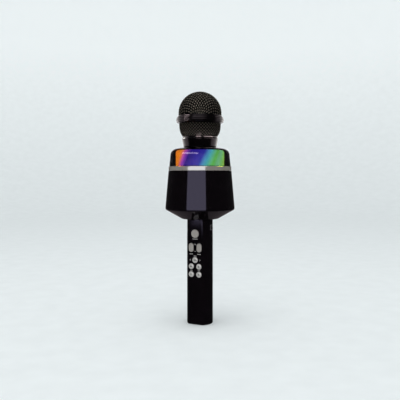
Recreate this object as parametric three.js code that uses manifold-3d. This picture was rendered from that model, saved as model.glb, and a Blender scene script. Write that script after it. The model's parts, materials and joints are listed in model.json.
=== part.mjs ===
// Wireless karaoke microphone with a built-in speaker and a coloured light ring.
// Millimetres. +Z is up along the handle, Z = 0 is the foot it stands on, and the keys face -Y.
import * as THREE from 'three';
import { mergeVertices } from 'three/addons/utils/BufferGeometryUtils.js';
import Module from 'manifold-3d';

const wasm = await Module();
wasm.setup();

// ---------------------------------------------------------------- driving dimensions
const TOTAL_HEIGHT = 250;
const BODY_RADIUS = 37.5;      // widest point, at the foot of the speaker housing
const SMOOTH = 28;             // facets round a large turned part
const SMALL = 16;              // facets round a small or hidden turned part
const TUBE_ARC = 10;           // half the facets round the handle's section
const PANEL_ARC = 6;           // half the facets round each end of the fascia
const FIT = 0.05;              // gap left between faces that rest on each other
const BEYOND = 60;             // how far a cutter runs past the part it cuts

const HANDLE = { radius: 13.9, flat: 11.3, wall: 1.6, flatWall: 1.5, bottom: 8, top: 111.5 };
HANDLE.innerRadius = HANDLE.radius - HANDLE.wall;
HANDLE.innerFlat = HANDLE.flat - HANDLE.flatWall;
HANDLE.neckTop = 117.1;
HANDLE.flangeTop = 118.9;
HANDLE.flangeRadius = 15.8;
const SEAM = 0.1;              // half the gap between the handle's front and rear shells

const DOME = { radius: 23.4, wall: 1, bottom: 224.2 };
DOME.centre = TOTAL_HEIGHT - DOME.radius;

const BAND = { bottom: 215.5, top: 224.15, bore: 22 };
const COLLAR = { bottom: 190.35, top: 199.4, bore: 17 };
const DECK = { bottom: 162.4, top: 164.4, radius: 31.9, bore: 12 };
const HOUSING = { topRadius: 34.2, top: 164.3, bottom: 123.6, wall: 2 };
const CONE = { top: 123.4, mouth: 19.3, mouthHeight: 112.4 };

const PANEL = { width: 15.6, bottom: 45.7, top: 109.3, front: 11.5, back: 10.65 };
const KEY_CLEARANCE = 0.25;
const KEY_FLANGE = { lip: 0.6, front: 9.75, back: 9.25 };
const KEY_FRONT = 12.35;       // how far forward the key tops stand from the handle's axis
const KEYS = [
  { name: 'effect_button', x: 0, z: 97.1, radius: 4.4 },
  { name: 'play_button', x: 0, z: 69, radius: 3.1 },
  { name: 'upper_left_key', x: -4.5, z: 62.1, radius: 3 },
  { name: 'upper_right_key', x: 4.5, z: 62.1, radius: 3 },
  { name: 'lower_left_key', x: -4.5, z: 53.7, radius: 3 },
  { name: 'lower_right_key', x: 4.5, z: 53.7, radius: 3 },
];
const ROCKER = { z: 82.2, width: 5.8, height: 9.5, back: 9.6, swing: 0.3, pivotRadius: 0.8 };
const ROCKERS = [
  { name: 'music_rocker', x: -4.7 },
  { name: 'voice_rocker', x: 4.7 },
];

const MAT = { front: 8.3, back: 7.7, width: 14, bottom: 48, top: 103.5 };
const BOARD = { front: 7.6, back: 6.4, width: 17.6, bottom: 21.5, top: 108 };
const BATTERY = { radius: 9, y: 2.9, bottom: 22, top: 87 };
const SCREW_HEIGHTS = { upper_handle_screw: 90, lower_handle_screw: 18.9 };
const SCREW_SEAT = 11.2;       // how far behind the axis the handle screws' heads rest
const POST = { radius: 1.9, hole: 1.25, end: 0.4 };
const KEY_OPENING_END = 7;     // depth at which the key openings stop

const SWITCH = {
  z: 103.4, travel: 2, knobHeight: 2, knobWidth: 2.8, knobTip: 14.9,
  halfWidth: 2.55, halfHeight: 2.95, slotHalfWidth: 1.65, slotHalfHeight: 2.25,
};
const MAGNET = { bottom: 141.6, top: 153, radius: 19, pole: 6.4, poleEnd: 137.8, gap: 8.5 };

const PORTS = {
  usb: { x: 0, y: -4.6, width: 8.9, height: 3.2, wall: 0.35 },
  jack: { x: -5.2, y: 3.4, radius: 2.9, bore: 1.8 },
  card: { x: 3.6, y: 3.4, width: 11.6, height: 1.9, slotWidth: 11, slotHeight: 1.1 },
  bottom: 0.8,
  top: 10.1,
};

// ---------------------------------------------------------------- materials
const finish = (color, roughness, metalness = 0) =>
  new THREE.MeshStandardMaterial({ color, roughness, metalness });

const material = {
  darkMesh: finish(0x4a4744, 0.4, 0.9),
  darkMetal: finish(0x2b282b, 0.22, 0.9),
  silver: finish(0xb9b6b0, 0.3, 0.9),
  steel: finish(0x9a9a9c, 0.35, 1),
  glossBlack: finish(0x0c0a0c, 0.12),
  satinBlack: finish(0x121112, 0.45),
  foam: finish(0x0a0a0a, 1),
  rubber: finish(0x161616, 0.85),
  smoked: new THREE.MeshStandardMaterial({
    color: 0x8a8490, roughness: 0.05, transparent: true, opacity: 0.35,
  }),
  milky: finish(0x7c6fd0, 0.5),
  key: finish(0xa7a39e, 0.4, 0.2),
  circuit: finish(0x17452c, 0.6),
  paper: finish(0x1b1a1a, 0.9),
  copper: finish(0xb87333, 0.35, 1),
  cellWrap: finish(0x2f6fb0, 0.4),
  wire: finish(0x8a1f1f, 0.6),
};

// ---------------------------------------------------------------- geometry helpers

/** Six times the enclosed volume, positive when the faces point outwards. */
function signedVolume(position, index) {
  const [a, b, c] = [new THREE.Vector3(), new THREE.Vector3(), new THREE.Vector3()];
  let total = 0;
  for (let i = 0; i < index.length; i += 3) {
    a.fromBufferAttribute(position, index[i]);
    b.fromBufferAttribute(position, index[i + 1]);
    c.fromBufferAttribute(position, index[i + 2]);
    total += a.dot(b.cross(c));
  }
  return total;
}

/** Merges shared vertices, drops faces that collapsed on the axis, and turns faces outwards. */
function weld(geometry) {
  const bare = geometry.clone();
  bare.deleteAttribute('normal');
  bare.deleteAttribute('uv');
  const merged = mergeVertices(bare, 1e-4);
  const source = merged.index.array;
  const kept = [];
  for (let i = 0; i < source.length; i += 3) {
    const [a, b, c] = [source[i], source[i + 1], source[i + 2]];
    if (a !== b && b !== c && c !== a) kept.push(a, b, c);
  }
  if (signedVolume(merged.attributes.position, kept) < 0) kept.reverse();
  merged.setIndex(kept);
  return merged;
}

/** A manifold solid from a closed three.js geometry. */
function solid(geometry) {
  const welded = weld(geometry);
  return new wasm.Manifold(new wasm.Mesh({
    numProp: 3,
    vertProperties: new Float32Array(welded.attributes.position.array),
    triVerts: new Uint32Array(welded.index.array),
  }));
}

/** The three.js geometry of a manifold solid. */
function surface(body) {
  const mesh = body.getMesh();
  const geometry = new THREE.BufferGeometry();
  geometry.setAttribute('position', new THREE.BufferAttribute(mesh.vertProperties, 3));
  geometry.setIndex(new THREE.BufferAttribute(mesh.triVerts, 1));
  return geometry;
}

/** Points [radius, height] on an arc about (centreR, centreZ). Angles in degrees from the +r axis. */
function arc(centreR, centreZ, radius, from, to, steps) {
  const points = [];
  for (let i = 0; i <= steps; i += 1) {
    const angle = THREE.MathUtils.degToRad(from + ((to - from) * i) / steps);
    points.push([centreR + radius * Math.cos(angle), centreZ + radius * Math.sin(angle)]);
  }
  return points;
}

/** A turned part about +Z. Its outline starts and ends on the axis. */
function turned(profile, segments) {
  const points = profile.map(([r, z]) => new THREE.Vector2(Math.abs(r) < 1e-6 ? 0 : r, z));
  return weld(new THREE.LatheGeometry(points, segments).rotateX(Math.PI / 2));
}

/** A turned ring about +Z. Its outline closes on itself away from the axis. */
function ring(profile, segments) {
  return turned([...profile, profile[0]], segments);
}

const disc = (radius, bottom, top, segments = SMALL) =>
  turned([[0, bottom], [radius, bottom], [radius, top], [0, top]], segments);

/** A block from its lowest to its highest corner. */
function block([x0, y0, z0], [x1, y1, z1]) {
  return new THREE.BoxGeometry(x1 - x0, y1 - y0, z1 - z0)
    .translate((x0 + x1) / 2, (y0 + y1) / 2, (z0 + z1) / 2);
}

/** A round-ended outline, or a circle when its height equals its width. */
function obround(x, y, width, height) {
  const radius = width / 2;
  const reach = (height - width) / 2;
  const shape = new THREE.Shape();
  shape.absarc(x, y + reach, radius, 0, Math.PI, false);
  shape.absarc(x, y - reach, radius, Math.PI, 2 * Math.PI, false);
  shape.closePath();
  return shape;
}

/** A round-ended outline that lies along X. */
function lyingObround(x, y, width, height) {
  const radius = height / 2;
  const reach = (width - height) / 2;
  const shape = new THREE.Shape();
  shape.absarc(x + reach, y, radius, -Math.PI / 2, Math.PI / 2, false);
  shape.absarc(x - reach, y, radius, Math.PI / 2, (3 * Math.PI) / 2, false);
  shape.closePath();
  return shape;
}

/** A circle with one flat side, the flat lying across -Y. */
function flattenedCircle(radius, flat) {
  const corner = Math.asin(flat / radius);
  const shape = new THREE.Shape();
  shape.absarc(0, 0, radius, -corner, Math.PI + corner, false);
  shape.closePath();
  return shape;
}

/** An upright prism of a plan outline between two heights. */
function upright(shape, bottom, top, curveSegments = 4) {
  const depth = top - bottom;
  return new THREE.ExtrudeGeometry(shape, { depth, bevelEnabled: false, curveSegments })
    .translate(0, 0, bottom);
}

/** A prism of an outline seen from the front (x, z), between two depths behind the front. */
function facing(shape, frontDepth, backDepth, curveSegments = 4) {
  const depth = frontDepth - backDepth;
  return new THREE.ExtrudeGeometry(shape, { depth, bevelEnabled: false, curveSegments })
    .rotateX(Math.PI / 2)
    .translate(0, -backDepth, 0);
}

/** Subtracts each cutter in turn. */
const carve = (body, cutters) => cutters.reduce((left, cutter) => left.subtract(solid(cutter)), body);

const model = new THREE.Group();

/** Adds one named sub-part to a group. */
function add(group, name, geometry, look) {
  const mesh = new THREE.Mesh(geometry, look);
  mesh.name = name;
  geometry.computeVertexNormals();
  group.add(mesh);
  return mesh;
}

// ---------------------------------------------------------------- grille head (unscrews)
const head = new THREE.Group();
model.add(head);

/** Hemispherical upper grille with a short skirt, crimped on to the band. */
function grilleDome() {
  const inner = DOME.radius - DOME.wall;
  return turned([
    [0, TOTAL_HEIGHT - DOME.wall],
    ...arc(0, DOME.centre, inner, 90, 0, 6).slice(1),
    [inner, DOME.bottom],
    [DOME.radius, DOME.bottom],
    ...arc(0, DOME.centre, DOME.radius, 0, 90, 7),
  ], SMOOTH);
}

/** Lower grille, a tapered bowl between the threaded base and the band. */
function grilleBasket() {
  const top = BAND.bottom - FIT;
  return ring([
    [19, 201.2], [20.2, 203.2], [21.3, 205.4], [22.1, 208.2], [22.5, 211.8], [22.7, top],
    [21.7, top], [21.5, 211.8], [21.1, 208.5], [20.3, 206], [18, 202.2], [18, 201.2],
  ], SMOOTH);
}

/** Clamping band that joins the two grilles, bulging outwards. */
function grilleBand() {
  return ring([
    [BAND.bore, BAND.bottom], [24.7, BAND.bottom], [25.6, 216.7], [26, 218.3], [26, 219.7],
    [25.4, 221.3], [24.3, 223], [23.5, BAND.top], [BAND.bore, BAND.top],
  ], SMOOTH);
}

/** Base of the head, whose bore screws on to the neck tube. */
function headBase() {
  return ring([
    [16.95, 199.9], [18.9, 199.9], [18.9, 201.1], [17.85, 201.1], [17.85, 204.5], [16.95, 204.5],
  ], SMOOTH);
}

/** Foam windscreen that lines both grilles. */
function grilleFoam() {
  return turned([
    [0, DOME.centre + 19.7],
    ...arc(0, DOME.centre, 19.7, 90, 0, 5).slice(1),
    [19.2, 216], [18.6, 210], [17.9, 206.6], [19.6, 206.6], [20.6, 210], [21.1, 216],
    ...arc(0, DOME.centre, 21.7, 0, 90, 5),
  ], SMALL);
}

add(head, 'grille_dome', grilleDome(), material.darkMesh);
add(head, 'grille_band', grilleBand(), material.darkMetal);
add(head, 'grille_basket', grilleBasket(), material.darkMesh);
add(head, 'head_base', headBase(), material.darkMetal);
add(head, 'grille_foam', grilleFoam(), material.foam);

/** Flat washer pinched between the head and the collar. */
add(model, 'head_seal', ring([
  [17.05, COLLAR.top + FIT], [18.5, COLLAR.top + FIT],
  [18.5, 199.9 - FIT], [17.05, 199.9 - FIT],
], SMALL + 8), material.rubber);

// ---------------------------------------------------------------- neck and capsule
const neck = new THREE.Group();
model.add(neck);

/** Threaded tube that carries the head; its foot stands on the deck. */
function neckTube() {
  return ring([
    [14.8, DECK.top + FIT], [19, DECK.top + FIT], [19, 166.2],
    [16.6, 166.2], [16.6, 205.8], [14.8, 205.8],
  ], SMALL + 8);
}

/** Flared collar with a bevelled bright lip. */
function neckCollar() {
  return ring([
    [COLLAR.bore, COLLAR.bottom], [17.9, COLLAR.bottom], [19.45, 198.2],
    [19.45, 198.8], [18.9, COLLAR.top], [COLLAR.bore, COLLAR.top],
  ], SMOOTH);
}

/** Plate and post that hold the capsule at the middle of the grille. */
function capsuleMount() {
  return ring([
    [3, 206], [16.4, 206], [16.4, 207.6], [9, 207.6], [8, 210], [8, 220], [3, 220],
  ], SMALL);
}

/** Rubber cup round the capsule, with a hole for its leads. */
function capsuleBoot() {
  return ring([
    [1.5, 220.2], [7.4, 220.2], [7.4, 229], [5, 229], [5, 222], [1.5, 222],
  ], SMALL);
}

add(neck, 'neck_tube', neckTube(), material.satinBlack);
add(neck, 'neck_collar', neckCollar(), material.darkMetal);
add(neck, 'capsule_mount', capsuleMount(), material.satinBlack);
add(neck, 'capsule_boot', capsuleBoot(), material.rubber);
add(neck, 'mic_capsule', disc(4.75, 222.15, 229.6), material.steel);

// ---------------------------------------------------------------- light unit
const light = new THREE.Group();
model.add(light);

/** Clear cover with a rounded shoulder and a shallow cone on top. */
function lampCover() {
  return ring([
    [33.3, 169], ...arc(24.9, 181, 7.2, 4, 80, 4), [17.25, 190.2],
    [17.25, 188.9], ...arc(24.9, 181, 6.1, 80, 4, 4), [32, 169],
  ], SMOOTH);
}

/** Milky drum that spreads the light, open underneath over the lamps. */
function lightDiffuser() {
  return ring([
    [30.3, 169.2], [30.3, 170.5], [26.2, 170.5], [26.2, 185], [25.4, 186.5], [23.6, 187.1],
    [19.4, 181.5], [19.4, 169.2], [20.8, 169.2], [20.8, 181], [23.9, 185.6], [24.8, 184.7],
    [24.8, 169.2],
  ], SMALL + 8);
}

/** Ring-shaped circuit board with its lamps soldered on top. */
function ledBoard() {
  const lampCount = 12;
  const lampRadius = 22.8;
  const lampSize = 3.4;
  let board = solid(ring([[19.6, 166.7], [30.2, 166.7], [30.2, 167.8], [19.6, 167.8]], SMALL + 8));
  for (let i = 0; i < lampCount; i += 1) {
    const lamp = new THREE.BoxGeometry(lampSize, lampSize, 1.4)
      .translate(lampRadius, 0, 168.2)
      .rotateZ((2 * Math.PI * (i + 0.5)) / lampCount);
    board = board.add(solid(lamp));
  }
  return surface(board);
}

/** Satin metal ring between the clear cover and the housing. */
function trimRing() {
  return ring([
    [30.5, 164.45], [33.8, 164.45], [34, 164.7], [34, 168.6], [33.7, 168.95], [30.5, 168.95],
  ], SMOOTH);
}

add(light, 'lamp_cover', lampCover(), material.smoked);
add(light, 'light_diffuser', lightDiffuser(), material.milky);
add(light, 'led_board', ledBoard(), material.circuit);
add(light, 'trim_ring', trimRing(), material.silver);

// ---------------------------------------------------------------- housing
const housing = new THREE.Group();
model.add(housing);

const DECK_SCREWS = { angles: [60, 180, 300], radius: 27.8, bossRadius: 3, bossHeight: 12, hole: 1.3 };

/** The three deck screw positions, each with its angle about the axis. */
const deckSpots = DECK_SCREWS.angles.map((degrees) => {
  const angle = THREE.MathUtils.degToRad(degrees);
  return { angle, x: DECK_SCREWS.radius * Math.cos(angle), y: DECK_SCREWS.radius * Math.sin(angle) };
});

/** Hole for the shank of each deck screw. */
const deckHoles = (bottom, top) => deckSpots.map(({ x, y }) =>
  disc(DECK_SCREWS.hole, bottom, top, 10).translate(x, y, 0));

/** Tapered drum round the speaker, with a shoulder for its frame and bosses for the deck. */
function speakerHousing() {
  const inside = HOUSING.topRadius - HOUSING.wall;
  let body = solid(ring([
    [inside, HOUSING.top], [HOUSING.topRadius, HOUSING.top], [BODY_RADIUS, 125.2],
    [BODY_RADIUS, HOUSING.bottom], [35.4, HOUSING.bottom], [35.4, 128.6], [33.4, 128.6],
    [33.4, 131], [34.7, 132.5],
  ], SMOOTH));
  const { bossRadius, bossHeight, radius } = DECK_SCREWS;
  const bossTop = DECK.bottom - FIT;
  for (const { angle, x, y } of deckSpots) {
    const boss = disc(bossRadius, bossTop - bossHeight, bossTop, 12).translate(x, y, 0);
    const web = new THREE.BoxGeometry(5, 2.4, bossHeight)
      .translate(radius + 3.4, 0, bossTop - bossHeight / 2)
      .rotateZ(angle);
    body = body.add(solid(boss)).add(solid(web));
  }
  return surface(carve(body, deckHoles(bossTop - 10, bossTop + 1)));
}

/** Plate that closes the top of the housing and carries the neck. */
function topDeck() {
  const plate = solid(ring([
    [DECK.bore, DECK.bottom], [DECK.radius, DECK.bottom],
    [DECK.radius, DECK.top], [DECK.bore, DECK.top],
  ], SMOOTH));
  return surface(carve(plate, deckHoles(DECK.bottom - 1, DECK.top + 1)));
}

/** Pan-head screw about +Z, its head above Z = 0. */
const screw = (length, shank, headRadius, headHeight) => turned([
  [0, -length], [shank * 0.6, -length], [shank, -length + 1], [shank, 0], [headRadius, 0],
  [headRadius, headHeight * 0.6], [headRadius * 0.7, headHeight], [0, headHeight],
], 8);

/** Cone under the housing; its spigot clamps the speaker and its mouth holds the outlet ring. */
function lowerCone() {
  return ring([
    [33.6, 126.7], [35.1, 126.7], [35.1, CONE.top], [37.45, CONE.top], [37.3, 122.8],
    [36.7, 122.2], [CONE.mouth, CONE.mouthHeight], [CONE.mouth, 114.8], [33.6, 122.9],
  ], SMOOTH);
}

/** Slotted ring round the top of the handle that lets the sound out downwards. */
function outletRing() {
  const slots = 16;
  const body = solid(ring([
    [14.25, 112.5], [19.1, 112.5], [19.1, 115.75], [20.6, 115.75], [20.6, 117],
    [18, 117], [18, 114.2], [14.25, 114.2],
  ], SMOOTH));
  const cutters = [];
  for (let i = 0; i < slots; i += 1) {
    cutters.push(new THREE.BoxGeometry(2.3, 3.2, 6)
      .translate(16.6, 0, 113)
      .rotateZ((2 * Math.PI * i) / slots));
  }
  return surface(carve(body, cutters));
}

add(housing, 'speaker_housing', speakerHousing(), material.glossBlack);
add(housing, 'top_deck', topDeck(), material.satinBlack);
deckSpots.forEach(({ x, y }, i) => {
  const fastener = add(housing, `deck_screw_${i + 1}`, screw(8, 1.1, 2, 1.2), material.steel);
  fastener.position.set(x, y, DECK.top + FIT);
});
add(housing, 'lower_cone', lowerCone(), material.glossBlack);
add(housing, 'outlet_ring', outletRing(), material.satinBlack);

// ---------------------------------------------------------------- speaker (faces down)
const speaker = new THREE.Group();
model.add(speaker);

const LOOM_HOLE = { y: 30.6, radius: 1.9 };

/** Pressed basket with six windows, clamped by its rim. */
function speakerFrame() {
  const windows = 6;
  const body = solid(ring([
    [26.2, 126.9], [35.1, 126.9], [35.1, 128.5], [27.8, 128.5], [20.6, 141.4],
    [9.5, 141.4], [9.5, 140], [19.6, 140], [26.2, 128.1],
  ], SMALL + 8));
  const cutters = [disc(LOOM_HOLE.radius, 125, 130, 10).translate(0, LOOM_HOLE.y, 0)];
  for (let i = 0; i < windows; i += 1) {
    cutters.push(new THREE.BoxGeometry(14, 10, 6)
      .translate(24, 0, 134)
      .rotateZ((2 * Math.PI * i) / windows));
  }
  return surface(carve(body, cutters));
}

/** Magnet, yoke and pole in one, with the gap that the voice coil moves in. */
function speakerMagnet() {
  const { bottom, top, radius, pole, poleEnd, gap } = MAGNET;
  const backPlate = top - 3.5;
  return turned([
    [0, poleEnd], [pole, poleEnd], [pole, backPlate], [gap, backPlate], [gap, bottom],
    [radius, bottom], [radius, top], [0, top],
  ], SMALL);
}

/** Rubber half-roll between the cone's edge and the frame. */
function speakerSurround() {
  return ring([
    ...arc(24.25, 128.3, 1.65, 180, 360, 3),
    ...arc(24.25, 128.3, 1.15, 360, 180, 3),
  ], SMALL);
}

const paperCone = ring([[7.95, 136.5], [22.4, 128.3], [22.4, 129], [7.95, 137.2]], SMALL);
const dustCap = turned([
  [0, 132.6], [4.6, 133.5], [8.5, 135.8], [8.1, 136.1], [4.4, 134], [0, 133.1],
], SMALL);
const voiceCoil = ring([[7.05, 136.6], [7.7, 136.6], [7.7, 146.4], [7.05, 146.4]], SMALL);

add(speaker, 'speaker_frame', speakerFrame(), material.steel);
add(speaker, 'speaker_magnet', speakerMagnet(), material.steel);
add(speaker, 'speaker_surround', speakerSurround(), material.rubber);
add(speaker, 'speaker_cone', paperCone, material.paper);
add(speaker, 'dust_cap', dustCap, material.paper);
add(speaker, 'voice_coil', voiceCoil, material.copper);

// ---------------------------------------------------------------- handle
const handle = new THREE.Group();
model.add(handle);

/** The whole handle tube, flat in front, with a round neck and a flange at the top. */
function handleTube() {
  const outer = solid(upright(flattenedCircle(HANDLE.radius, HANDLE.flat), HANDLE.bottom,
    HANDLE.top, TUBE_ARC));
  const neckPart = solid(disc(HANDLE.radius, HANDLE.top - 0.5, HANDLE.neckTop + 0.5, SMOOTH));
  const flange = solid(disc(HANDLE.flangeRadius, HANDLE.neckTop, HANDLE.flangeTop, SMOOTH));
  const bore = upright(flattenedCircle(HANDLE.innerRadius, HANDLE.innerFlat),
    HANDLE.bottom - 1, HANDLE.flangeTop + 1, TUBE_ARC);
  return carve(outer.add(neckPart).add(flange), [bore]);
}

const tube = handleTube();
const frontHalf = solid(block([-BEYOND, -BEYOND, 0], [BEYOND, -SEAM, TOTAL_HEIGHT]));
const rearHalf = solid(block([-BEYOND, SEAM, 0], [BEYOND, BEYOND, TOTAL_HEIGHT]));

/** Cutter for the switch's bezel recess and its slot, shared by both shells. */
function switchCutters() {
  const { z, halfWidth, halfHeight, slotHalfWidth, slotHalfHeight } = SWITCH;
  const gap = 0.15;
  return [
    block([12.95, -halfWidth - gap, z - halfHeight - gap],
      [BEYOND, halfWidth + gap, z + halfHeight + gap]),
    block([8, -slotHalfWidth - gap, z - slotHalfHeight - 0.25],
      [BEYOND, slotHalfWidth + gap, z + slotHalfHeight + 0.25]),
  ];
}

/** Outline of a rocker with a gap all round, taller at its ends for the swing. */
const rockerOutline = (x, side, ends) =>
  obround(x, ROCKER.z, ROCKER.width + 2 * side, ROCKER.height + 2 * ends);

/** Every opening that a key passes through, from the front to the inside of the shell. */
function keyOpenings(depth) {
  const round = KEYS.map((key) => {
    const size = 2 * (key.radius + KEY_CLEARANCE);
    return facing(obround(key.x, key.z, size, size), BEYOND, depth);
  });
  const long = ROCKERS.map(({ x }) =>
    facing(rockerOutline(x, KEY_CLEARANCE, KEY_CLEARANCE + ROCKER.swing), BEYOND, depth));
  return [...round, ...long];
}

/** Pockets behind the round keys, where their flanges move. */
const flangePockets = () => KEYS.map((key) => {
  const size = 2 * (key.radius + KEY_FLANGE.lip + KEY_CLEARANCE);
  return facing(obround(key.x, key.z, size, size), KEY_FLANGE.front + 0.1, KEY_OPENING_END);
});

/** A round bar along Y, between two depths measured towards the front. */
const bar = (x, z, radius, frontDepth, backDepth) =>
  facing(obround(x, z, 2 * radius, 2 * radius), frontDepth, backDepth, 3);

/** Front shell: recess for the panel, key openings, and posts for the two screws. */
function handleFront() {
  const panelHeight = PANEL.top - PANEL.bottom;
  const recess = facing(
    obround(0, (PANEL.top + PANEL.bottom) / 2, PANEL.width + 0.2, panelHeight + 0.2),
    BEYOND, PANEL.back - FIT, PANEL_ARC);
  let shell = tube.intersect(frontHalf);
  for (const z of Object.values(SCREW_HEIGHTS)) {
    shell = shell.add(solid(bar(0, z, POST.radius, HANDLE.innerFlat + 0.3, -POST.end)));
    shell = shell.subtract(solid(bar(0, z, POST.hole, 6, -BEYOND)));
  }
  return surface(carve(shell, [
    recess, ...keyOpenings(KEY_OPENING_END), ...flangePockets(), ...switchCutters(),
  ]));
}

/** Rear shell with two sunk screw holes. */
function handleRear() {
  const bossRadius = 2.9;
  const headHole = 2.3;
  let shell = tube.intersect(rearHalf);
  for (const z of Object.values(SCREW_HEIGHTS)) {
    shell = shell.add(solid(bar(0, z, bossRadius, -POST.end - 0.2, -HANDLE.innerRadius - 0.5)));
    shell = shell.subtract(solid(bar(0, z, headHole, -SCREW_SEAT, -BEYOND)));
    shell = shell.subtract(solid(bar(0, z, POST.hole, 6, -BEYOND)));
  }
  return surface(carve(shell, switchCutters()));
}

/** Foot of the handle: bevelled, hollow, open to the ports below. */
function endCap() {
  const edge = 1.2;
  const foot = new THREE.ExtrudeGeometry(flattenedCircle(HANDLE.radius, HANDLE.flat), {
    depth: HANDLE.bottom, bevelThickness: edge, bevelSize: edge, bevelOffset: -edge,
    bevelSegments: 2, curveSegments: TUBE_ARC,
  }).translate(0, 0, edge);
  const below = solid(block([-BEYOND, -BEYOND, -1], [BEYOND, BEYOND, HANDLE.bottom - 0.15]));
  const spigot = upright(flattenedCircle(HANDLE.innerRadius - 0.2, HANDLE.innerFlat - 0.2),
    HANDLE.bottom - 1, 12.5, TUBE_ARC);
  const hollow = upright(flattenedCircle(HANDLE.innerRadius - 1.7, HANDLE.innerFlat - 1.2),
    2.4, 14, TUBE_ARC);
  const { usb, jack, card } = PORTS;
  const gap = 0.3;
  return surface(carve(solid(foot).intersect(below).add(solid(spigot)), [
    hollow,
    upright(lyingObround(usb.x, usb.y, usb.width + gap, usb.height + gap), -1, 3),
    disc(jack.radius + gap / 2, -1, 3, 16).translate(jack.x, jack.y, 0),
    block([card.x - card.width / 2 - gap / 2, card.y - card.height / 2 - gap / 2, -1],
      [card.x + card.width / 2 + gap / 2, card.y + card.height / 2 + gap / 2, 3]),
  ]));
}

add(handle, 'handle_front', handleFront(), material.glossBlack);
add(handle, 'handle_rear', handleRear(), material.glossBlack);
add(handle, 'end_cap', endCap(), material.glossBlack);
for (const [name, z] of Object.entries(SCREW_HEIGHTS)) {
  const fastener = add(handle, name, screw(14.5, 1.15, 2.1, 1.3), material.steel);
  fastener.rotation.x = -Math.PI / 2;
  fastener.position.set(0, SCREW_SEAT + FIT, z);
}

// ---------------------------------------------------------------- controls
const controls = new THREE.Group();
model.add(controls);

/** Thin obround fascia let into the handle's flat. */
function buttonPanel() {
  const outline = obround(0, (PANEL.top + PANEL.bottom) / 2, PANEL.width, PANEL.top - PANEL.bottom);
  const plate = solid(facing(outline, PANEL.front, PANEL.back, PANEL_ARC));
  return surface(carve(plate, keyOpenings(KEY_OPENING_END)));
}

/** Round key about +Z with a soft-edged top and a flange that keeps it in. */
function roundKey(radius) {
  const flangeRadius = radius + KEY_FLANGE.lip;
  const flange = KEY_FLANGE.front - KEY_FLANGE.back;
  const height = KEY_FRONT - KEY_FLANGE.back;
  return turned([
    [0, 0], [flangeRadius, 0], [flangeRadius, flange], [radius, flange],
    [radius, height - 0.35], [radius - 0.35, height], [0, height],
  ], SMALL);
}

/** Pill-shaped rocker with its pivot bar behind. */
function rocker() {
  const outline = obround(0, 0, ROCKER.width, ROCKER.height);
  const pill = solid(facing(outline, KEY_FRONT - ROCKER.back, 0));
  const pivot = new THREE.CylinderGeometry(ROCKER.pivotRadius, ROCKER.pivotRadius, 5, 12)
    .rotateZ(Math.PI / 2);
  return surface(pill.add(solid(pivot)));
}

add(controls, 'button_panel', buttonPanel(), material.glossBlack);
for (const { name, x, z, radius } of KEYS) {
  const key = add(controls, name, roundKey(radius), material.key);
  key.rotation.x = Math.PI / 2;
  key.position.set(x, -KEY_FLANGE.back, z);
}
for (const { name, x } of ROCKERS) {
  add(controls, name, rocker(), material.key).position.set(x, -ROCKER.back, ROCKER.z);
}

/** Hole in the mat and the board for the upper screw's post. */
const postHole = bar(0, SCREW_HEIGHTS.upper_handle_screw, POST.radius + 0.3, 10, 5);

/** Silicone sheet of contacts behind the keys. */
function keypadMat() {
  const sheet = block([-MAT.width / 2, -MAT.front, MAT.bottom], [MAT.width / 2, -MAT.back, MAT.top]);
  return surface(carve(solid(sheet), [postHole]));
}

/** Main circuit board with its larger components on the back. */
function mainBoard() {
  const half = BOARD.width / 2;
  const chip = (x, z, width, height, depth) => block(
    [x - width / 2, -BOARD.back - 0.2, z - height / 2],
    [x + width / 2, -BOARD.back + depth, z + height / 2],
  );
  const board = solid(block([-half, -BOARD.front, BOARD.bottom], [half, -BOARD.back, BOARD.top]))
    .add(solid(chip(-3.4, 96.5, 7, 7, 1.2)))
    .add(solid(chip(4.6, 97, 5, 6, 1)))
    .add(solid(chip(0, 104.5, 8, 3, 2.4)));
  return surface(carve(board, [postHole]));
}

add(controls, 'keypad_mat', keypadMat(), material.rubber);
add(controls, 'main_board', mainBoard(), material.circuit);

/** Lithium cell with its raised positive button. */
const cell = turned([
  [0, BATTERY.bottom], [BATTERY.radius, BATTERY.bottom], [BATTERY.radius, BATTERY.top - 0.8],
  [3, BATTERY.top - 0.8], [3, BATTERY.top], [0, BATTERY.top],
], SMALL);
add(handle, 'battery', cell, material.cellWrap).position.y = BATTERY.y;

/** Bright frame round the power switch's slot. */
function switchBezel() {
  const { z, halfWidth, halfHeight, slotHalfWidth, slotHalfHeight } = SWITCH;
  const plate = solid(block([13, -halfWidth, z - halfHeight], [14.15, halfWidth, z + halfHeight]));
  const slot = block([10, -slotHalfWidth, z - slotHalfHeight], [20, slotHalfWidth, z + slotHalfHeight]);
  return surface(carve(plate, [slot]));
}

/** Ridged thumb piece of the power switch, shown at the lower end of its travel. */
function powerSwitch() {
  const low = SWITCH.z - SWITCH.travel / 2 - SWITCH.knobHeight / 2;
  const halfWidth = SWITCH.knobWidth / 2;
  const knob = solid(block([10.75, -halfWidth, low],
    [SWITCH.knobTip, halfWidth, low + SWITCH.knobHeight]));
  const grooves = [0.5, 1, 1.5].map((offset) => block(
    [SWITCH.knobTip - 0.35, -2, low + offset - 0.12],
    [SWITCH.knobTip + 1, 2, low + offset + 0.12],
  ));
  return surface(carve(knob, grooves));
}

add(controls, 'switch_bezel', switchBezel(), material.silver);
add(controls, 'power_switch', powerSwitch(), material.satinBlack);
add(controls, 'switch_body', block([7.4, -3.2, 98], [10.5, 3.2, 108.8]), material.satinBlack);

// ---------------------------------------------------------------- ports in the foot
const ports = new THREE.Group();
model.add(ports);

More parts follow.
